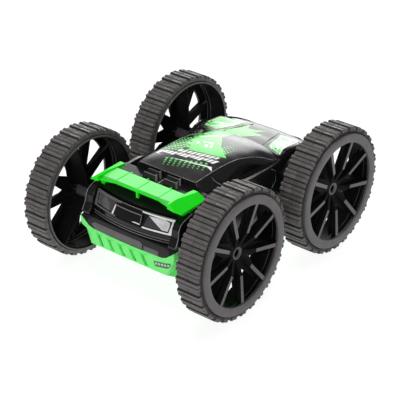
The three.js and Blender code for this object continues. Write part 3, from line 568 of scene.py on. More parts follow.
def tyre_section(height):
    """The tyre's section at a height of the tread, which is split in a narrow slit along its middle."""
    inner_x, outer_x = TYRE_LOW.x, TYRE_HIGH.x
    top = VALLEY_RADIUS + LUG_HEIGHT * height
    side = 0.9 * (1 - height)
    middle = (inner_x + outer_x) / 2
    dip = 0.35 if height < 0.3 else 0.175
    return [
        (inner_x + 0.6, TYRE_BORE), (outer_x - 0.6, TYRE_BORE), (outer_x, TYRE_BORE + 0.6),
        (outer_x - 0.3, TYRE_BORE + 0.9 + 1.4 * height), (outer_x - side * 0.6, VALLEY_RADIUS - 0.9),
        (outer_x - side, top - 1.0), (outer_x - 0.7 - side, top - 0.15), (outer_x - 1.4 - side, top),
        (middle + 0.5, top), (middle + 0.25, top - dip), (middle - 0.25, top - dip), (middle - 0.5, top),
        (inner_x + 1.4 + side, top), (inner_x + 0.7 + side, top - 0.15), (inner_x + side, top - 1.0),
        (inner_x + side * 0.6, VALLEY_RADIUS - 0.9), (inner_x, TYRE_BORE + 0.6),
    ]


def tyre_mesh():
    """The tread band; its grooves and its edge at the rim are in the second finish, a painted shade."""
    bm = bmesh.new()
    sections = []
    period = 360 / LUG_COUNT
    for lug in range(LUG_COUNT):
        for angle, height in TREAD_PERIOD:
            a = math.radians(-90 + lug * period + angle)
            sections.append([(x, r * math.cos(a), r * math.sin(a)) for x, r in tyre_section(height)])
    ring(bm, sections)
    # Faces in the grooves beside the ridges and at the rim's edge take the painted shade.
    for face in bm.faces:
        middle = face.calc_center_median()
        reach = math.hypot(middle.y, middle.z)
        turn = (math.degrees(math.atan2(middle.z, middle.y)) + 90 + period / 2) % period - period / 2
        groove = GROOVE_TURNS[0] < abs(turn) < GROOVE_TURNS[1] and reach > VALLEY_RADIUS - 1.2
        lip = reach < TYRE_BORE + 2.4 and middle.x > TYRE_HIGH.x - 0.5
        if groove or lip:
            face.material_index = 1
    return bm


SPOKE_COUNT = 9
SPOKE_WIDTH = 3.7
SPOKE_DEPTH = 5
SPOKE_FOOT = 3.0
BEND_RADIUS = 19.5
BEND_X = WHEEL_FACE_X - 3.3
HUB_X = WHEEL_FACE_X - 10
HUB_RADIUS = 5.8
RING_OPENING = 45.3
BARREL_RADIUS = DRUM_RADIUS - 1.6
SPOKE_END = BARREL_RADIUS - 0.2
SPOKE_END_X = WHEEL_FACE_X - 0.6
WEB_ANGLES = (0, 120, 240)
WEB_HALF = 0.75
WEB_BACK_X = RIM_INNER_X + 0.8
GUSSET = [(4.4, -1.6), (18, -6.5), (46, -2), (46, 2), (18, 6.5), (4.4, 1.6)]
LIP_DEPTHS = (6.5, 10.5)


def turn_about_axle(bm, verts, angle):
    bmesh.ops.rotate(bm, verts=verts, cent=(0, 0, 0), matrix=Matrix.Rotation(angle, 3, "X"))


def add_drum(bm):
    face, back = WHEEL_FACE_X, RIM_INNER_X
    drum = [
        (back, BARREL_RADIUS + 0.3), (back, DRUM_RADIUS - 0.25), (back + 0.25, DRUM_RADIUS),
        (face - 0.45, DRUM_RADIUS), (face - 0.12, DRUM_RADIUS - 0.15), (face, DRUM_RADIUS - 0.5),
        (face, RING_OPENING + 0.6), (face - 0.15, RING_OPENING + 0.18), (face - 0.6, RING_OPENING),
        (face - 2.2, RING_OPENING), (face - 2.5, RING_OPENING + 0.6), (face - 4.2, BARREL_RADIUS - 0.2),
        (face - 5.0, BARREL_RADIUS), (back + 3.0, BARREL_RADIUS), (back + 2.6, BARREL_RADIUS - 0.5),
        (back + 1.9, BARREL_RADIUS - 0.5), (back + 1.5, BARREL_RADIUS),
    ]
    turned(bm, drum, 144)
    # Faces deep inside the barrel take the painted shade.
    for f in bm.faces:
        reach = max(math.hypot(v.co.y, v.co.z) for v in f.verts)
        if f.calc_center_median().x < face - 2.4 and reach < DRUM_RADIUS - 1.2:
            f.material_index = 1


def add_spokes(bm):
    """Cranked spokes, broader towards the ring, whose flanks and inner lengths are in the second finish:
    painted shade.
    """
    side = [
        (SPOKE_END_X, SPOKE_END), (BEND_X + 0.12, BEND_RADIUS + 0.8), (BEND_X, BEND_RADIUS),
        (BEND_X - 0.35, BEND_RADIUS - 0.6), (HUB_X, SPOKE_FOOT), (HUB_X - SPOKE_DEPTH, SPOKE_FOOT),
        (BEND_X - SPOKE_DEPTH, BEND_RADIUS), (SPOKE_END_X - SPOKE_DEPTH, SPOKE_END),
    ]
    for k in range(SPOKE_COUNT):
        verts = extrude(bm, side, -SPOKE_WIDTH / 2, SPOKE_WIDTH / 2, "z")
        for v in verts:
            v.co.z *= 0.88 + 0.14 * max(0.0, (v.co.y - 18) / 34)
        for f in {f for v in verts for f in v.link_faces}:
            f.normal_update()
            if f.calc_center_median().y < BEND_RADIUS or abs(f.normal.x) < 0.5:
                f.material_index = 1
        turn_about_axle(bm, verts, 2 * math.pi * k / SPOKE_COUNT)


def add_webs(bm):
    web = [
        (BEND_X - 1, SPOKE_END), (BEND_X - 1, BEND_RADIUS), (HUB_X - 1, SPOKE_FOOT), (WEB_BACK_X, SPOKE_FOOT),
        (WEB_BACK_X, SPOKE_END),
    ]
    # The webs behind the spokes take the painted shade.
    for angle in WEB_ANGLES:
        turn_about_axle(bm, extrude(bm, web, -WEB_HALF, WEB_HALF, "z", 1), math.radians(angle))


def add_hub(bm):
    hub = [
        (WEB_BACK_X, 2.4), (WEB_BACK_X, HUB_RADIUS), (HUB_X + 1.3, HUB_RADIUS),
        (HUB_X + 1.7, HUB_RADIUS - 0.35), (HUB_X + 1.7, 4.3), (HUB_X + 1.3, 4.0), (HUB_X + 0.4, 3.3),
        (HUB_X - 4.6, 3.3), (HUB_X - 4.6, 2.4),
    ]
    turned(bm, hub, 40)


def rim_mesh():
    bm = bmesh.new()
    add_drum(bm)
    add_spokes(bm)
    add_webs(bm)
    add_hub(bm)
    # The gussets behind the spokes take the painted shade.
    for k in range(SPOKE_COUNT):
        verts = extrude(bm, GUSSET, BEND_X - 6.4, BEND_X - 5.2, "x", 1)
        turn_about_axle(bm, verts, 2 * math.pi * k / SPOKE_COUNT)
    for depth in LIP_DEPTHS:
        front, back = WHEEL_FACE_X - depth, WHEEL_FACE_X - depth - 0.5
        inner, outer = BARREL_RADIUS - 0.5, BARREL_RADIUS + 0.1
        turned(bm, [(front, outer), (front, inner), (back, inner), (back, outer)], 96)
    return bm


# How far each wheel stands turned on its axle, in degrees.
WHEEL_TURN = {"rear_right": 107, "rear_left": 75, "front_right": 107, "front_left": 88}


def make_wheel(corner):
    low, high = box_mm(corner + "_rim")
    side = 1 if low.x > 0 else -1
    centre = Vector((0, (low.y + high.y) / 2, AXLE_Z))
    place = Matrix.Translation(centre) @ Matrix.Rotation(0 if side > 0 else math.pi, 4, "Z")
    body = corner + "_wheel"
    tyre = tyre_mesh()
    bmesh.ops.transform(tyre, matrix=place, verts=tyre.verts)
    # The tyre's second finish, matte black, is a painted shade in the grooves and at the rim's edge.
    piece(corner + "_tread", tyre, body, "tread_rubber", [corner + "_tyre"], ["matte_black"], sharp=35)
    rim = rim_mesh()
    turn = Matrix.Rotation(math.radians(WHEEL_TURN[corner]), 4, "X")
    bmesh.ops.transform(rim, matrix=place @ turn, verts=rim.verts)
    # Its second finish is the painted shade.
    made = piece(corner + "_spoked_rim", rim, body, "rim_plastic", [corner + "_rim"], ["rim_painted_shade"])
    bevel(made, 0.35, 2, 40)


for corner in CORNERS:
    make_wheel(corner)

# ---- Upper shell ----
# Feature lines of the shell's right half along Y: the roof's middle and edge, the foot of the window,
# the inner and outer top of the shoulder and fender, the rear deck, the hood, and the outline in plan.
ROOF_REAR_Y = -48.5
CREST_Y = 47.0
NOSE_START_Y = 88
NOSE_Y = 105.0
roof_mid_z = curve([(-48.5, 95.0), (-30, 96.4), (-8, 97), (15, 95.4), (30, 92.4), (40, 89), (47, 86.1)])
roof_edge_x = curve(
    [(-48.5, 31.4), (-15, 31.2), (2.5, 31.8), (20.6, 34.2), (33, 37.5), (42, 45.2), (47, 46.6)]
)
roof_edge_z = curve(
    [(-48.5, 94.9), (-31, 95.3), (-15, 95.1), (2.5, 94.2), (20.6, 90.5), (33, 85.8), (42, 82.6), (47, 82.4)]
)
foot_x = curve([(-48.5, 43), (0, 43), (30, 44.8), (42, 47.0), (47, 47.6)])
foot_z = curve([(-48.5, 77), (0, 77), (20, 77.6), (36, 79.8), (42, 81.2), (47, 81.8)])
crest_x = curve([(-48.5, 44.6), (-38, 44.6), (-8, 45.2), (20, 46.6), (36, 47.8), (47, 48.2)])
crest_z = curve([
    (-90, 80), (-66, 88), (-38, 88), (-8, 82.5), (20, 80.6), (36, 80.4), (47, 82.4), (60, 86), (78, 84),
    (88, 79),
])
outer_x = curve([(-48.5, 47.4), (-8, 48.6), (20, 49.2), (36, 49.4), (47, 49.2)])
deck_z = curve([(-88.6, 82.7), (-70, 88.9), (-66, 89), (-48.5, 89)])
hood_z = curve([(47, 84.9), (60, 84.0), (75, 82), (90, 79.6), (100, 76.5), (105, 73)])
plan_x = curve([(20, 53), (52, 50), (88, 48), (94, 43), (99, 36), (103, 26), (105, 18)])
TAIL_BOW = 6.0
CREST_REACH, CREST_SWEEP, CREST_HALF = 27, 8.0, 46  # how the windscreen's foot bows forward
SIDE_TOP_Z = 62
SIDE_FOOT_Z = 58
WALL = 1.6
TAIL_HALF = PANEL_HIGH.x
TAIL_TOP_Z = PANEL_HIGH.z
DECK_REAR_Y = -88.6
TAIL_WARP_Y = -72  # behind here the deck's sections bend to follow the bowed tail
TOP_X = (0, 5, 10, 15, 20, 25, 28.5, 31.4, 33, 35.3, 37.6, 40, 42, 43.6)


def bow(x):
    return TAIL_BOW * (1 - min(1.0, (x / TAIL_HALF) ** 2))


def crest_shift(x, y):
    near = max(0.0, 1 - abs(y - CREST_Y) / CREST_REACH)
    return near * CREST_SWEEP * (1 - min(1.0, abs(x) / CREST_HALF) ** 2)


def deck_points(y):
    top = deck_z(y)
    return [(x, top) for x in TOP_X] + [(44.6, top), (46.8, top - 0.1), (48.8, min(82.0, top - 1.2))]


def roof_points(y):
    mid, edge, rim = roof_mid_z(y), roof_edge_z(y), roof_edge_x(y)
    points = [(rim * t, mid - (mid - edge) * t**4.5) for t in (0, 0.16, 0.32, 0.48, 0.64, 0.8, 0.92, 1.0)]
    for t in (0.06, 0.28, 0.52, 0.76, 0.95, 1.0):
        bulge = 0.7 * math.sin(math.pi * t)
        x = rim + (foot_x(y) - rim) * t + bulge
        points.append((x, edge + (foot_z(y) - edge) * t + bulge * 0.5))
    crest = crest_z(y)
    return points + [(crest_x(y), crest), (outer_x(y), crest - 0.15), (outer_x(y) + 0.35, crest - 2.0)]


def hood_points(y):
    nose = y >= NOSE_START_Y
    hood = hood_z(y)
    width = plan_x(y) / plan_x(NOSE_START_Y) if nose else 1.0
    rise = 0.0 if nose else max(0.0, crest_z(y) - hood)
    points = []
    for x in TOP_X:
        dome = -1.2 * (x / 44) ** 2
        lift = rise * max(0.0, min(1.0, (x - 30) / 13)) ** 1.4
        points.append((x * width, hood + dome * (1 if nose else 0.3) + lift))
    top = hood + rise
    return points + [(44.6 * width, top - 0.3), (46.8 * width, top - 0.9), (48.2 * width, top - 3.0)]


def half_section(y):
    """The right half of the shell's section at y, from the middle of the top down to its lower edge."""
    if y < ROOF_REAR_Y:
        points = deck_points(y)
    elif y <= CREST_Y:
        points = roof_points(y)
    else:
        points = hood_points(y)
    side = plan_x(y)
    last_x, last_z = points[-1]
    for t in (0.33, 0.66):
        points.append((last_x + (side - last_x) * t, last_z + (SIDE_TOP_Z - last_z) * t))
    return points + [(side, SIDE_TOP_Z), (side, SIDE_FOOT_Z), (side, SPLIT_Z)]


def shell_row(y):
    half = half_section(y)
    warp = max(0.0, min(1.0, (TAIL_WARP_Y - y) / (TAIL_WARP_Y - DECK_REAR_Y)))
    row = []
    for x, z in [(-x, z) for x, z in reversed(half[1:])] + half:
        back = (3.5 - bow(x)) * warp if abs(x) < 44 else 0.0
        row.append(Vector((x, y + back + crest_shift(x, y), z)))
    return row


def shell_stations():
    last = DECK_REAR_Y
    tail = [last, last + 0.6] + [last + (ROOF_REAR_Y - 0.7 - last) * k / 14 for k in range(1, 15)]
    roof = [ROOF_REAR_Y + (CREST_Y - ROOF_REAR_Y) * k / 48 for k in range(49)]
    hood = [CREST_Y + 0.8 + (NOSE_START_Y - CREST_Y) * k / 20 for k in range(1, 20)]
    turns = [math.sin(math.pi / 2 * k / 12) for k in range(13)]
    nose = [NOSE_START_Y + (NOSE_Y - NOSE_START_Y) * turn for turn in turns]
    return tail + roof + [CREST_Y + 1.0] + hood + nose


def make_upper_shell():
    bm = bmesh.new()
    rows = [shell_row(y) for y in shell_stations()]
    drop = [Vector((p.x, p.y, min(p.z, SPLIT_Z))) for p in rows[0]]
    sheet(bm, [drop, *rows])
    bm.faces.new([bm.verts.new(p) for p in rows[-1]])
    made = piece("body_top", bm, "chassis", "black_shell", ["upper_shell"], sharp=28)
    thicken(made, WALL)
    return bevel(made, 0.45, 3, 28)


POD_RADIUS = 21
POD_INNER_X = 45
POD_END_X = 63
SKIRT_RISE = 0.3


def pod_mesh(side, y, upper):
    """Half of an axle pod; the lower half stands SKIRT_RISE outside the lower body as a black skirt."""
    bm = bmesh.new()
    rise = 0 if upper else SKIRT_RISE
    top = [(POD_INNER_X, 0), (58.5, 0), (60.6, -0.5), (62.1, -1.7)]
    outline = [(x + rise, POD_RADIUS + drop + rise) for x, drop in top]
    outline += [(62.8, POD_RADIUS - 3.4), (POD_END_X, POD_RADIUS - 5), (POD_END_X, 5.4), (62.7, 4.9)]
    outline += [(61, 4.9), (61, POD_RADIUS - 4.5), (58.5, POD_RADIUS - 2), (POD_INNER_X, POD_RADIUS - 2)]
    cut = math.asin((SPLIT_Z - AXLE_Z) / POD_RADIUS)
    start, end = (cut, math.pi - cut) if upper else (math.pi - cut, 2 * math.pi + cut)
    limit = max if upper else min
    sections = []
    for k in range(49):
        a = start + (end - start) * k / 48
        points = [(side * x, y + r * math.cos(a), AXLE_Z + r * math.sin(a)) for x, r in outline]
        sections.append([(px, py, limit(pz, SPLIT_Z)) for px, py, pz in points])
    capped(bm, sections)
    return bm


SKIRT_LINE = [(53.4, 57.2), (53.4, 42), (50.4, 31.4), (49.4, 31.6), (52.4, 42.2), (52.4, 57.2)]
SKIRT_PLAN = ((-86.5, 0), (18, 0), (52, 3), (80, 4.6))  # places along Y, and how far in the skirt is there


def side_skirt_mesh(side):
    bm = bmesh.new()
    capped(bm, [[(side * (x - inward), y, z) for x, z in SKIRT_LINE] for y, inward in SKIRT_PLAN])
    return bm


shell = make_upper_shell()
for corner in CORNERS:
    low, high = box_mm(corner + "_rim")
    side, middle_y = (1 if low.x > 0 else -1), (low.y + high.y) / 2
    for upper, ending in ((True, "_pod_top"), (False, "_pod_skirt")):
        bevel(piece(corner + ending, pod_mesh(side, middle_y, upper), sharp=40), 0.3)
for side, name in SIDES:
    bevel(piece(f"side_skirt_{name}", side_skirt_mesh(side), sharp=40), 0.25)

# ---- Rear corners, tail panel and bumper ----
CORNER_LINE = [
    (-78, 85.4), (-83.3, 84.4), (-88.6, 83.2), (-93, 81), (-95.7, 76.7), (-97, 70.4), (-99.7, 65.4),
    (-101.4, 63.2),
]


def side_x(z):
    """The side wall's X at a height, leaning in above z 66."""
    return 53.0 if z < 66 else 53.0 - (z - 66) * 0.05


def corner_mesh(side):
    bm = bmesh.new()
    outline = [*CORNER_LINE, (-101.4, 60.6), (-94.5, 60.6), (-78, 60.6)]
    for v in extrude(bm, outline, 44.4, 53, "x"):
        if v.co.x > 50:
            v.co.x = side_x(v.co.z) - 0.05
        v.co.x *= side
    return bm


for side, name in SIDES:
    bevel(piece(f"tail_corner_{name}", corner_mesh(side), sharp=30, material="gloss_black"), 0.7, 3, 12)

# The panel's rear face as (z, y) points, and the depth of the recess between its upper and lower edge.
TAIL_FACE = [(60.3, -95.4), (68.6, -94.9), (TAIL_TOP_Z, -88.6)]
TAIL_RECESS = 0.9
PANEL_END_X = 43.9


def tail_point(x, z, out=0.0):
    """A point on the bowed and leaning rear face of the tail panel, moved out of it."""
    (z0, y0), (z1, y1) = TAIL_FACE[:2] if z < TAIL_FACE[1][0] else TAIL_FACE[1:]
    y = y0 + (y1 - y0) * (z - z0) / (z1 - z0)
    lean = Vector((0, z0 - z1, y1 - y0)).normalized()
    return Vector((x, y - bow(x), z)) + lean * out


def on_tail(out):
    return lambda x, z: (tail_point(x, z, out), Vector((0, -0.91, 0.41)))


def tail_panel_mesh():
    """The panel from left to right. Each row of its face is a height, how far it stands out, and how much
    that changes between the panel's raised ends."""
    bm = bmesh.new()
    sections = []
    face = [
        (82.1, -0.7, 0), (81.8, 0.0, 0), (81.0, 0.0, 0), (80.7, 0.0, -0.8), (79.5, 0.0, -TAIL_RECESS),
        (70.6, 0.0, -TAIL_RECESS), (70.0, 0.0, -0.8), (69.7, 0.25, 0), (68.7, 0.3, 0), (67.9, -0.35, 0),
        (64.6, -0.35, 0), (64.2, -0.05, 0), (63.4, 0.0, 0), (63.1, -0.8, 0), (62.3, -0.8, 0), (62.0, 0.0, 0),
        (61.0, 0.0, 0), (60.5, -0.4, 0),
    ]
    for k in range(49):
        x = PANEL_END_X * (2 * k / 48 - 1)
        sunk = max(0.0, min(1.0, (42.4 - abs(x)) / 0.8))
        rear = [tail_point(x, z, out + recess * sunk) for z, out, recess in face]
        front = [tail_point(x, z, -3.1) for z in (60.5, 64, 68.6, 75, 81.8)]
        sections.append(rear + front)
    capped(bm, sections)
    return bm


bevel(piece("tail_face", tail_panel_mesh(), "chassis", "gloss_black", ["tail_panel"], sharp=25), 0.15, 2, 35)

LAMP_OUTLINE = [(18.5, 80.2), (41.2, 80.2), (41.2, 76), (40.6, 70.6), (15.5, 70.6)]
LAMP_FRAME = [
    (43.8, 81.4), (43.6, 69.0), (15, 68.9), (15, 70.1), (40.4, 70.3), (41.6, 79.6), (12, 80.6), (12, 81.5),
]
RIGHT_GLINT = [
    (19, 79.2), (26, 79.6), (34.5, 79.9), (36, 79), (38.8, 78.4), (39.4, 76.4), (38.8, 71.2), (33.5, 71.4),
]
LEFT_GLINT = [(-40.8, 79.4), (-31, 79.4), (-28.5, 77), (-25.5, 76.4), (-24, 71.2), (-40.2, 71.4)]
# For each side: the painted glint behind the lamp's cover, its finish, and the finish of the lamp's frame.
# The right lamp's bright glint and pale frame are painted reflection and highlight; the left lamp's dim glint
# and grey frame are the same lamp in painted shade.
LAMP_LOOKS = {
    "right": (RIGHT_GLINT, "glint_painted_bright", "highlight_painted_pale"),
    "left": (LEFT_GLINT, "glint_painted_dim", "strip_grey"),
}
for side, name in SIDES:
    glint, glint_finish, frame_finish = LAMP_LOOKS[name]
    laid(
        f"lamp_cover_{name}", [sided(LAMP_OUTLINE, side)], on_tail(-TAIL_RECESS), 0.45, 2.0, "lamp_lens",
        edge=0.2, replaces=[f"tail_lamp_{name}"],
    )
    laid(f"lamp_painted_glint_{name}", [glint], on_tail(-0.45), 0.08, 1.5, "lamp_lens", glint_finish)
    laid(
        f"lamp_frame_{name}", [sided(LAMP_FRAME, side)], on_tail(0.1), 0.35, 2.0, "lamp_lens", frame_finish,
        edge=0.12,
    )

# The number plate stands proud of the panel; its top and right edges carry thin grey strips of painted
# highlight.
PLATE = [(-16.6, 78.6), (13.0, 78.6), (13.6, 70.4), (-17.2, 70.4)]
PLATE_LIT_EDGES = [
    [(-16.6, 78.6), (13.0, 78.6), (13.0, 77.7), (-16.2, 77.7)],
    [(13.0, 78.2), (13.7, 70.6), (12.9, 70.6), (12.3, 77.8)],
]
# The plate's glints, at its left edge and lower right, are painted highlights in the pale finish.
PLATE_GLINTS = [
    [(-17.2, 78.2), (-16.2, 78.2), (-17.6, 70.4), (-19.2, 70.4)],
    [(4, 70.9), (13.4, 70.7), (13.2, 71.4), (7, 71.6)],
]
PANEL_BEADS = [[(-43.7, z), (43.7, z), (43.7, z - 0.8), (-43.7, z - 0.8)] for z in (62.0, 64.4)]
laid("plate_block", [PLATE], on_tail(-TAIL_RECESS), 1.9, 2.0, "gloss_black", edge=0.3)
laid("plate_lit_edges", PLATE_LIT_EDGES, on_tail(1.0), 0.3, 2.0, "gloss_black", "strip_grey")
laid("plate_glints", PLATE_GLINTS, on_tail(0.9), 0.4, 2.0, "gloss_black", "highlight_painted_pale")
laid("panel_beads", PANEL_BEADS, on_tail(0.0), 0.2, 2.0, "gloss_black", "strip_grey")

BUMPER_HALF = 52.8
BUMPER_FRONT_Y = -94.7
BUMPER_TOP_Z = 59.9
bumper_foot_z = curve([(0, 49.9), (38, 49.9), (47, 52.5), (53, 57)])


def bumper_mesh():
    bm = bmesh.new()
    sections = []
    for k in range(41):
        x = BUMPER_HALF * (2 * k / 40 - 1)
        top_y = -101.6 + 1.0 * (x / BUMPER_HALF) ** 2
        foot_y = -103.9 + 0.7 * (x / BUMPER_HALF) ** 2
        low = bumper_foot_z(abs(x))
        rear = [(x, top_y, BUMPER_TOP_Z), (x, foot_y, low + 2.2), (x, foot_y, low)]
        sections.append([(x, BUMPER_FRONT_Y, BUMPER_TOP_Z), *rear, (x, BUMPER_FRONT_Y, low)])
    capped(bm, sections)
    return bm


bumper = piece("bumper_bar", bumper_mesh(), "chassis", "black_shell", ["rear_bumper"], sharp=25)
bevel(bumper, 0.5, 3, 30)
on_bumper = falling(skin(bumper), "y")
STRIP_LEFT = [(-40.5, 54.4), (-37, 56.6), (14.5, 56.6), (17.8, 55), (17.8, 51), (-35, 51)]
STRIP_RIGHT = [(19.2, 54.6), (35.5, 54.6), (36, 50.4), (20, 50.4)]
laid("bumper_strip_left", [STRIP_LEFT], on_bumper, 0.7, material="strip_grey", edge=0.25)
laid("bumper_strip_right", [STRIP_RIGHT], on_bumper, 0.6, material="strip_grey", edge=0.25)

# ---- Painted highlight lines along the body's edges, drawn as thin beads ----
def bead(bm, path, radius, sides=6):
    """A thin closed bead along a path of points."""
    sections = []
    for i, point in enumerate(path):
        ahead = path[min(i + 1, len(path) - 1)] - path[max(i - 1, 0)]
        across = ahead.cross(Vector((0, 0, 1))).normalized()
        over = across.cross(ahead).normalized()
        angles = [2 * math.pi * k / sides for k in range(sides)]
        sections.append([point + (across * math.cos(a) + over * math.sin(a)) * radius for a in angles])
    capped(bm, sections)


def roof_line(side):
    ys = [ROOF_REAR_Y + 0.6 + (41 - ROOF_REAR_Y) * k / 45 for k in range(46)]
    places = [(roof_edge_x(y), y) for y in ys]
    return [Vector((side * (x + 0.05), y + crest_shift(x, y), roof_edge_z(y) - 0.05)) for x, y in places]


def shoulder_line(side):
    ys = [ROOF_REAR_Y + 1 + (80 - ROOF_REAR_Y) * k / 39 for k in range(24)]
    return [Vector((side * (outer_x(y) - 0.35), y, crest_z(y) - 0.45)) for y in ys]


bm = bmesh.new()
for side, _ in SIDES:
    pillar = ((31.2, 94.7), (37.2, 86), (43.0, 77.6))
    bead(bm, roof_line(side), 0.3)
    bead(bm, shoulder_line(side), 0.3)
    bead(bm, [Vector((side * (side_x(z) - 0.3), y, z - 0.3)) for y, z in CORNER_LINE], 0.35)
    bead(bm, [Vector((side * x, ROOF_REAR_Y + 0.1, z)) for x, z in pillar], 0.28)
bead(bm, [Vector((x, ROOF_REAR_Y + 0.15, 94.75)) for x in (-30.6, -15, 0, 15, 30.6)], 0.3)
bead(bm, [tail_point(-43 + 86 * k / 24, 81.9, 0.1) for k in range(25)], 0.3)
# The beads take the edge sheen: a painted highlight along the roof edge, shoulder, rear corners, roof's rear
# edge and the tail's top line.
piece("edge_highlights", bm, material="edge_sheen", sharp=60)

# ---- Cabin glass, doors and seams ----
shell_skin = skin(shell)
SIDE_GLASS = [
    (-27, 92.2), (-10, 93.2), (2.5, 92.4), (14, 90.4), (24, 87.6), (33, 84.4), (38.6, 82.2), (36, 81.4),
    (20, 81.8), (0, 83.2), (-12, 84.8), (-24, 87.2),
]
REAR_GLASS = [(-44.4, 93.2), (-30.6, 93.6), (-29, 91.5), (-27, 88.2), (-41.4, 89.2)]
DOOR = [(-18, 79.4), (33, 78.8), (38.6, 74.6), (37.6, 65.4), (31, 61.8), (-26, 61.8), (-30, 66), (-27, 76)]
DOOR_SEAM = [(33, 78.8), (36, 76.8), (38.6, 74.6), (38.1, 70), (37.6, 65.4), (34, 63.4), (31, 61.8)]
PILLAR_SEAM = [(-30, 93.0), (-28.6, 89.2), (-26.8, 85.4), (-24.6, 81.4)]
DOOR_INSET = [(-15, 76.6), (31.6, 76.2), (35.4, 73.2), (34.6, 67), (29.6, 64.4), (-24, 64.4), (-26, 68)]
for side, name in SIDES:
    on_side = falling(shell_skin, "x", side)
    laid(f"side_glass_{name}", [SIDE_GLASS, REAR_GLASS], on_side, 0.3, 2.5, "gloss_black", edge=0.15)
    door = laid(f"door_{name}", [DOOR], on_side, 0.45, 4.0, edge=0.2)
    # The seams at the door's front and the rear pillar are light beads in the edge sheen, a painted
    # highlight.
    seam = bmesh.new()
    for path in (DOOR_SEAM, PILLAR_SEAM):
        bead(seam, [on_side(y, z)[0] + Vector((side * 0.4, 0, 0)) for y, z in path], 0.25)
    piece(f"door_seam_highlights_{name}", seam, material="edge_sheen", sharp=60)
    laid(f"door_inset_{name}", [DOOR_INSET], falling(skin(door), "x", side), 0.25, 4.0, edge=0.15)

# ---- Printed graphics ----
on_top = falling(shell_skin, "z")


def printed(name, material, outlines, lift=0.14, step=3.0):
    laid(name, outlines, on_top, lift, step, material=material, sharp=50, sink=0.05)


def slanted_bar(x, y, width, rise, drop):
    """A short bar whose foot leans to the left."""
    lean = drop * 0.27
    return [(x, y), (x + width, y + rise), (x + width - lean, y + rise - drop), (x - lean, y - drop)]


ROOF_SPLASH = [
    (20, -3), (26, 0), (17, 7), (8, 15), (0, 26), (-6, 34), (-7, 45), (-8, 54), (-22, 52.5), (-26, 45),
    (-25, 31), (-27.5, 26), (-22.5, 22), (-26, 17.6), (-19.5, 14), (-23.6, 9), (-16, 6), (-20, 1),
    (-12.4, -1.5), (-16, -6.6), (-9, -5.6), (-10.6, -10.6), (-4, -8.4),
]
HOOD_SPLASH = [
    (-27, 55.4), (-23, 59.5), (-19.6, 75), (-16.4, 88.7), (-12.4, 81), (-11, 77.7), (-3, 80), (5.7, 86),
    (0, 76), (-2.2, 71.8), (3, 72.6), (9, 74.8), (5, 67), (0.4, 59), (-4.8, 55.4), (-14, 55.4),
]
FENDER_RIGHT = [
    (28.3, 57.5), (46, 50.6), (44.5, 54), (42.9, 58.6), (42.3, 70), (42.1, 80.2), (38.5, 88), (35, 92),
    (19.1, 88.4),
]
FENDER_LEFT = [
    (-46.6, 54.5), (-29.5, 56), (-27, 62), (-24.6, 70.6), (-23.3, 91), (-34, 92), (-39, 88), (-42.6, 80),
    (-43.4, 66),
]
FENDER_EDGE = [
    (44.8, 51.2), (46, 50.6), (43.6, 58.8), (43, 70), (42.8, 80.2), (38, 89), (35.6, 92), (37, 87),
    (41.2, 80), (41.6, 58.4),
]
FENDER_STROKES = [
    [(24, 74), (26, 73), (40, 58), (39, 56)],
    [(22, 82), (24, 81), (41.5, 66), (42, 62)],
    [(28, 62), (29.4, 61), (34, 55), (32.4, 55.4)],
]
LAST_STROKE = [(30, 88), (33, 86), (43, 70), (43.2, 66.5)]
printed("roof_splash", "print_green", [ROOF_SPLASH], 0.06)
printed("hood_splash", "print_green", [HOOD_SPLASH], 0.06)
printed("fender_print_right", "print_pale", [FENDER_RIGHT], 0.06)
printed("fender_print_left", "print_pale", [FENDER_LEFT], 0.06)
left_strokes = [[(2 - x, y) for x, y in outline] for outline in FENDER_STROKES]
printed("fender_strokes", "print_white", [FENDER_EDGE, *FENDER_STROKES, LAST_STROKE, *left_strokes], step=2.0)

# Two rows of slanted bars stand where the car has lettering, with two long strokes along their foot.
bars = [slanted_bar(-28.5 + 4.25 * k, -21.6 + 0.98 * k, 3.1, 0.72, (6.4, 4.6, 5.6)[k % 3]) for k in range(13)]
bars += [slanted_bar(-14.5 + 4.25 * k, -12.4 + 0.98 * k, 3.0, 0.7, (4.4, 5.2)[k % 2]) for k in range(9)]
bars.append([(-33, -22.8), (-29.4, -22.0), (-30.6, -27.2), (-23, -29.6), (-31.6, -28.6)])
bars.append([(-15, -29.4), (14, -23.8), (26.6, -20.6), (30.5, -25.8), (24, -23.4), (14, -25.4)])
printed("roof_bars", "print_white", bars)
chevrons = [
    [(-10, 12.4), (-1, 16.6), (4.6, 6.2), (2.4, 5.6), (-1.8, 13.4), (-8.6, 10.4)],
    [(-4.6, 8.6), (-1.6, 9.6), (1, 4.4), (-1.6, 3.6)],
    [(-17, 8.0), (-12, 10.6), (-9.4, 5.6), (-11.4, 4.8), (-13, 8)],
    [(-21, 20), (-12, 33), (-10.4, 32.6), (-17.6, 19.4)],
    [(-24, 30), (-20, 44), (-18.4, 43.6), (-21.4, 29.6)],
]
printed("roof_chevrons", "print_white", chevrons)


def field(rows, columns, place):
    """Dots on a grid, each at the (x, y, radius) that place gives for its row and column."""
    return [dot(*place(i, j)) for i in range(rows) for j in range(columns)]


dots = field(9, 4, lambda i, j: (-15 + 4.3 * i + 1.2 * j, -31.6 + 1.5 * i - 3.1 * j, 1.3 - 0.22 * j))
dots += field(9, 6, lambda i, j: (-30.6 + 3.0 * j, -18.6 + 3.7 * i + 0.9 * j, 1.0 + 0.08 * j))
dots += field(4, 5, lambda i, j: (11 + 2.9 * i + 0.7 * j, 12.5 - 2.0 * i + 3.0 * j, 1.15 - 0.18 * j))
printed("roof_halftone", "print_green", dots, 0.08, 6.0)

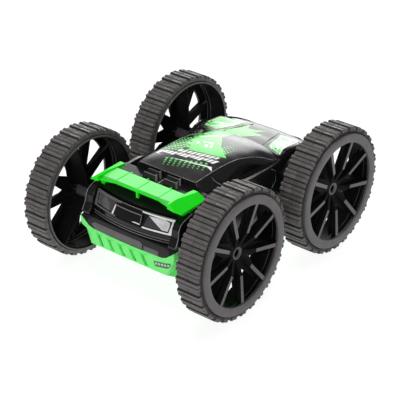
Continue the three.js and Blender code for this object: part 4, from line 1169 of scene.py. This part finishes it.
# ---- Rear wing and lower tail ----
on_wing = falling(skin(keep("rear_wing", "green_shell", 0.4)), "z")
# The lower shell takes the pale green, a painted sheen.
lower_skin = skin(keep("lower_shell", "green_shell", 0.5, "green_painted_sheen"))
on_lower = falling(lower_skin, "y")
PAD_ENDS = ((-38.2, -24.1), (-23.2, -0.5), (0.4, 23.5), (24.4, 38.2))
pads = [[(x0, -70.2), (x1, -70.2), (x1, -87.4), (x0, -87.4)] for x0, x1 in PAD_ENDS]
# The wing's pads take the pale green, a painted sheen on their tops; the gaps between them show the shell's
# own green.
laid("wing_pads", pads, on_wing, 0.45, 4.0, "green_shell", "green_painted_sheen", edge=0.2)
WING_FLAP = [(6, -88.1), (14, -86.4), (28, -86.2), (38.4, -90.2), (38.6, -91.8), (24.4, -88.5)]
TAIL_TIP = [(39.4, 50.4), (44, 52.0), (52.9, 58.9), (53, 54.4), (52.2, 50.4), (45, 47.2), (40, 45.6)]
for side, name in SIDES:
    bm = bmesh.new()
    extrude(bm, sided(TAIL_TIP, side), -103.6, -92, "y")
    # The tail tips take the pale green, a painted sheen.
    bevel(piece(f"tail_tip_{name}", bm, slot="green_shell", sharp=30, material="green_painted_sheen"), 0.5, 3, 25)
    # The flaps at the wing's trailing edge take the mid green, a painted shade.
    laid(f"wing_flap_{name}", [sided(WING_FLAP, side)], on_wing, 0.2, 3.0, "green_shell", "green_painted_shade")
bm = bmesh.new()
for x in (-22, -3.6, 21.8):
    box(bm, x - 0.6, x + 0.6, -70.2, -68.6, 94.6, 96)
piece("wing_tabs", bm, slot="green_shell")
bm = bmesh.new()
box(bm, -37, 27, -101.95, -101.1, 34.8, 47)
# The floor of the slots takes the deep green, a painted shade in the recess.
bevel(piece("slot_floor", bm, slot="green_shell", material="green_painted_deep_shade"), 0.2, angle=30)
RIDGE = [(-5.4, 46.2), (-4.2, 46.2), (0.4, 35.2), (-0.6, 35.2)]
RIDGE_CAP = [(-1.0, 46.4), (2.6, 46.8), (2.0, 45.8), (-0.6, 45.4)]
ridges = bmesh.new()
for k in range(5):
    x = -30.5 + 12.6 * k
    patch(ridges, [(x + a, z) for a, z in RIDGE], on_lower, 0.8)
    patch(ridges, [(x + a, z) for a, z in RIDGE_CAP], on_lower, 0.5)
# The ridges take the pale green, a painted sheen.
bevel(piece("lower_ridges", ridges, slot="green_shell", sharp=40, material="green_painted_sheen"), 0.25)
LABEL = [(29.5, 43.6), (47.0, 46.2), (47.4, 41.2), (31.4, 38.8)]
LABEL_MARK = [(0, 0), (1.9, 0.3), (2.4, -1.5), (0.5, -1.8)]
marks = [[(31.4 + 3.1 * k + a, 42.6 + 0.45 * k + b) for a, b in LABEL_MARK] for k in range(5)]
laid("label", [LABEL], on_lower, 0.12, material="strip_grey")
laid("label_marks", marks, on_lower, 0.2, slot="green_shell", material="print_pale")

# ---- Nose ----
on_lower_nose = falling(lower_skin, "y", -1)
on_nose = falling(shell_skin, "y", -1)
GRILLE = [(-27, 53), (27, 53), (22, 42), (-22, 42)]
GRILLE_BAR = [(-21.5, 51.6), (-19.1, 51.6), (-20.9, 43.4), (-23.3, 43.4)]
NOSE_LAMP = [(15, 70.5), (31, 72.0), (34, 69.0), (30, 66.4), (17, 66.0)]
bars = [[(x + 8 * k, z) for x, z in GRILLE_BAR] for k in range(6)]
laid("nose_grille", [GRILLE], on_lower_nose, 0.5, material="matte_black", edge=0.2, angle=30, sharp=30)
# The grille's bars take the pale green, a painted sheen.
laid("nose_bars", bars, on_lower_nose, 1.3, slot="green_shell", material="green_painted_sheen", edge=0.3)
lamps = [sided(NOSE_LAMP, side) for side, _ in SIDES]
laid("nose_lamps", lamps, on_nose, 0.5, slot="lamp_lens", edge=0.2, angle=30, sharp=30)

# ---- Louvres on the rear deck ----
LOUVRES = ((4.2, 17.4, -59.6), (2.8, 15.6, -53.2), (-17.8, -4.6, -60.4), (-18.6, -5.8, -53.6))
LOUVRE_TOP = 93.8
LOUVRE_LEAN = 1.6
boxes = bmesh.new()
ends = bmesh.new()
for x0, x1, y in LOUVRES:
    foot = DECK_Z + 0.1
    slat = [(x0 - 1.2, foot), (x1 + 1.4, foot), (x1, LOUVRE_TOP), (x0, LOUVRE_TOP)]
    fin = [(x1 + 0.1, 94.6), (x1 + 0.7, 94.6), (x1 + 2.1, foot), (x1 + 1.5, foot)]
    for v in extrude(boxes, slat, y, y + 1.4, "y") + extrude(ends, fin, y - 0.3, y + 1.8, "y"):
        v.co.y += LOUVRE_LEAN if v.co.z > 92 else 0.0
    bead(ends, [Vector((x, y + LOUVRE_LEAN, LOUVRE_TOP + 0.1)) for x in (x0, x1)], 0.18)
made = piece(
    "louvre_boxes", boxes, slot="gloss_black", replaces=["engine_cover"], sharp=30, material="matte_black"
)
bevel(made, 0.25, angle=30)
# The fins and beads at the louvres' ends are in the edge sheen, a painted highlight.
bevel(piece("louvre_end_highlights", ends, slot="gloss_black", material="edge_sheen", sharp=30), 0.12, angle=30)
# The spine between the louvres is laid in the edge sheen, a painted sheen.
SPINE = [(-0.6, -63.2), (0.8, -63.2), (0.8, -52.8), (-0.6, -52.8)]
laid("louvre_spine", [SPINE], on_top, 0.5, slot="gloss_black", material="edge_sheen")

# ---- Seams on the hood ----
bm = bmesh.new()
for side, _ in SIDES:
    bead(bm, [on_top(side * x, y)[0] for x, y in ((22.4, 56.5), (20, 68), (17.4, 80), (15, 91))], 0.45)
piece("hood_lines", bm, slot="gloss_black", sharp=60)

# ---- Kept CAD pieces: node ending, slot and width of the rounded edges ----
CORNER_PARTS = (("wheel_screw", "steel"), ("axle", "steel"), ("bushing", "brass"), ("pod_screw", "steel"))
SIDE_PARTS = (
    ("output_gear", "gear_plastic", 0.1),
    ("compound_gear", "gear_plastic", 0.1),
    ("gear_pin", "steel", 0.1),
    ("motor_pinion", "brass", 0.08),
    ("drive_motor", "motor_can", 0.3),
    ("motor_leads", "motor_lead", 0),
)
for corner in CORNERS:
    for part, slot in CORNER_PARTS:
        keep(f"{corner}_{part}", slot, 0.1)
for _, side in SIDES:
    for part, slot, width in SIDE_PARTS:
        keep(f"{side}_{part}", slot, width)
    keep(f"front_{side}_axle_clip", "steel", 0.1)
    keep(f"tail_led_{side}", "led_clear", 0.3)
for node in ("rear_gearbox_case", "rear_gearbox_lid", "front_axle_carrier", "chassis_tray"):
    keep(node, "inner_plastic", 0.4)
keep("battery_pack", "cell_wrap", 0.3)
keep("circuit_board", "circuit_board", 0.15)
keep("antenna_wire", "wire", 0)
keep("battery_door", "green_shell", 0.3)
keep("battery_door_screw", "steel", 0.1)
keep("power_switch_housing", "inner_plastic", 0.3)
keep("power_switch_slider", "switch_black", 0.2)
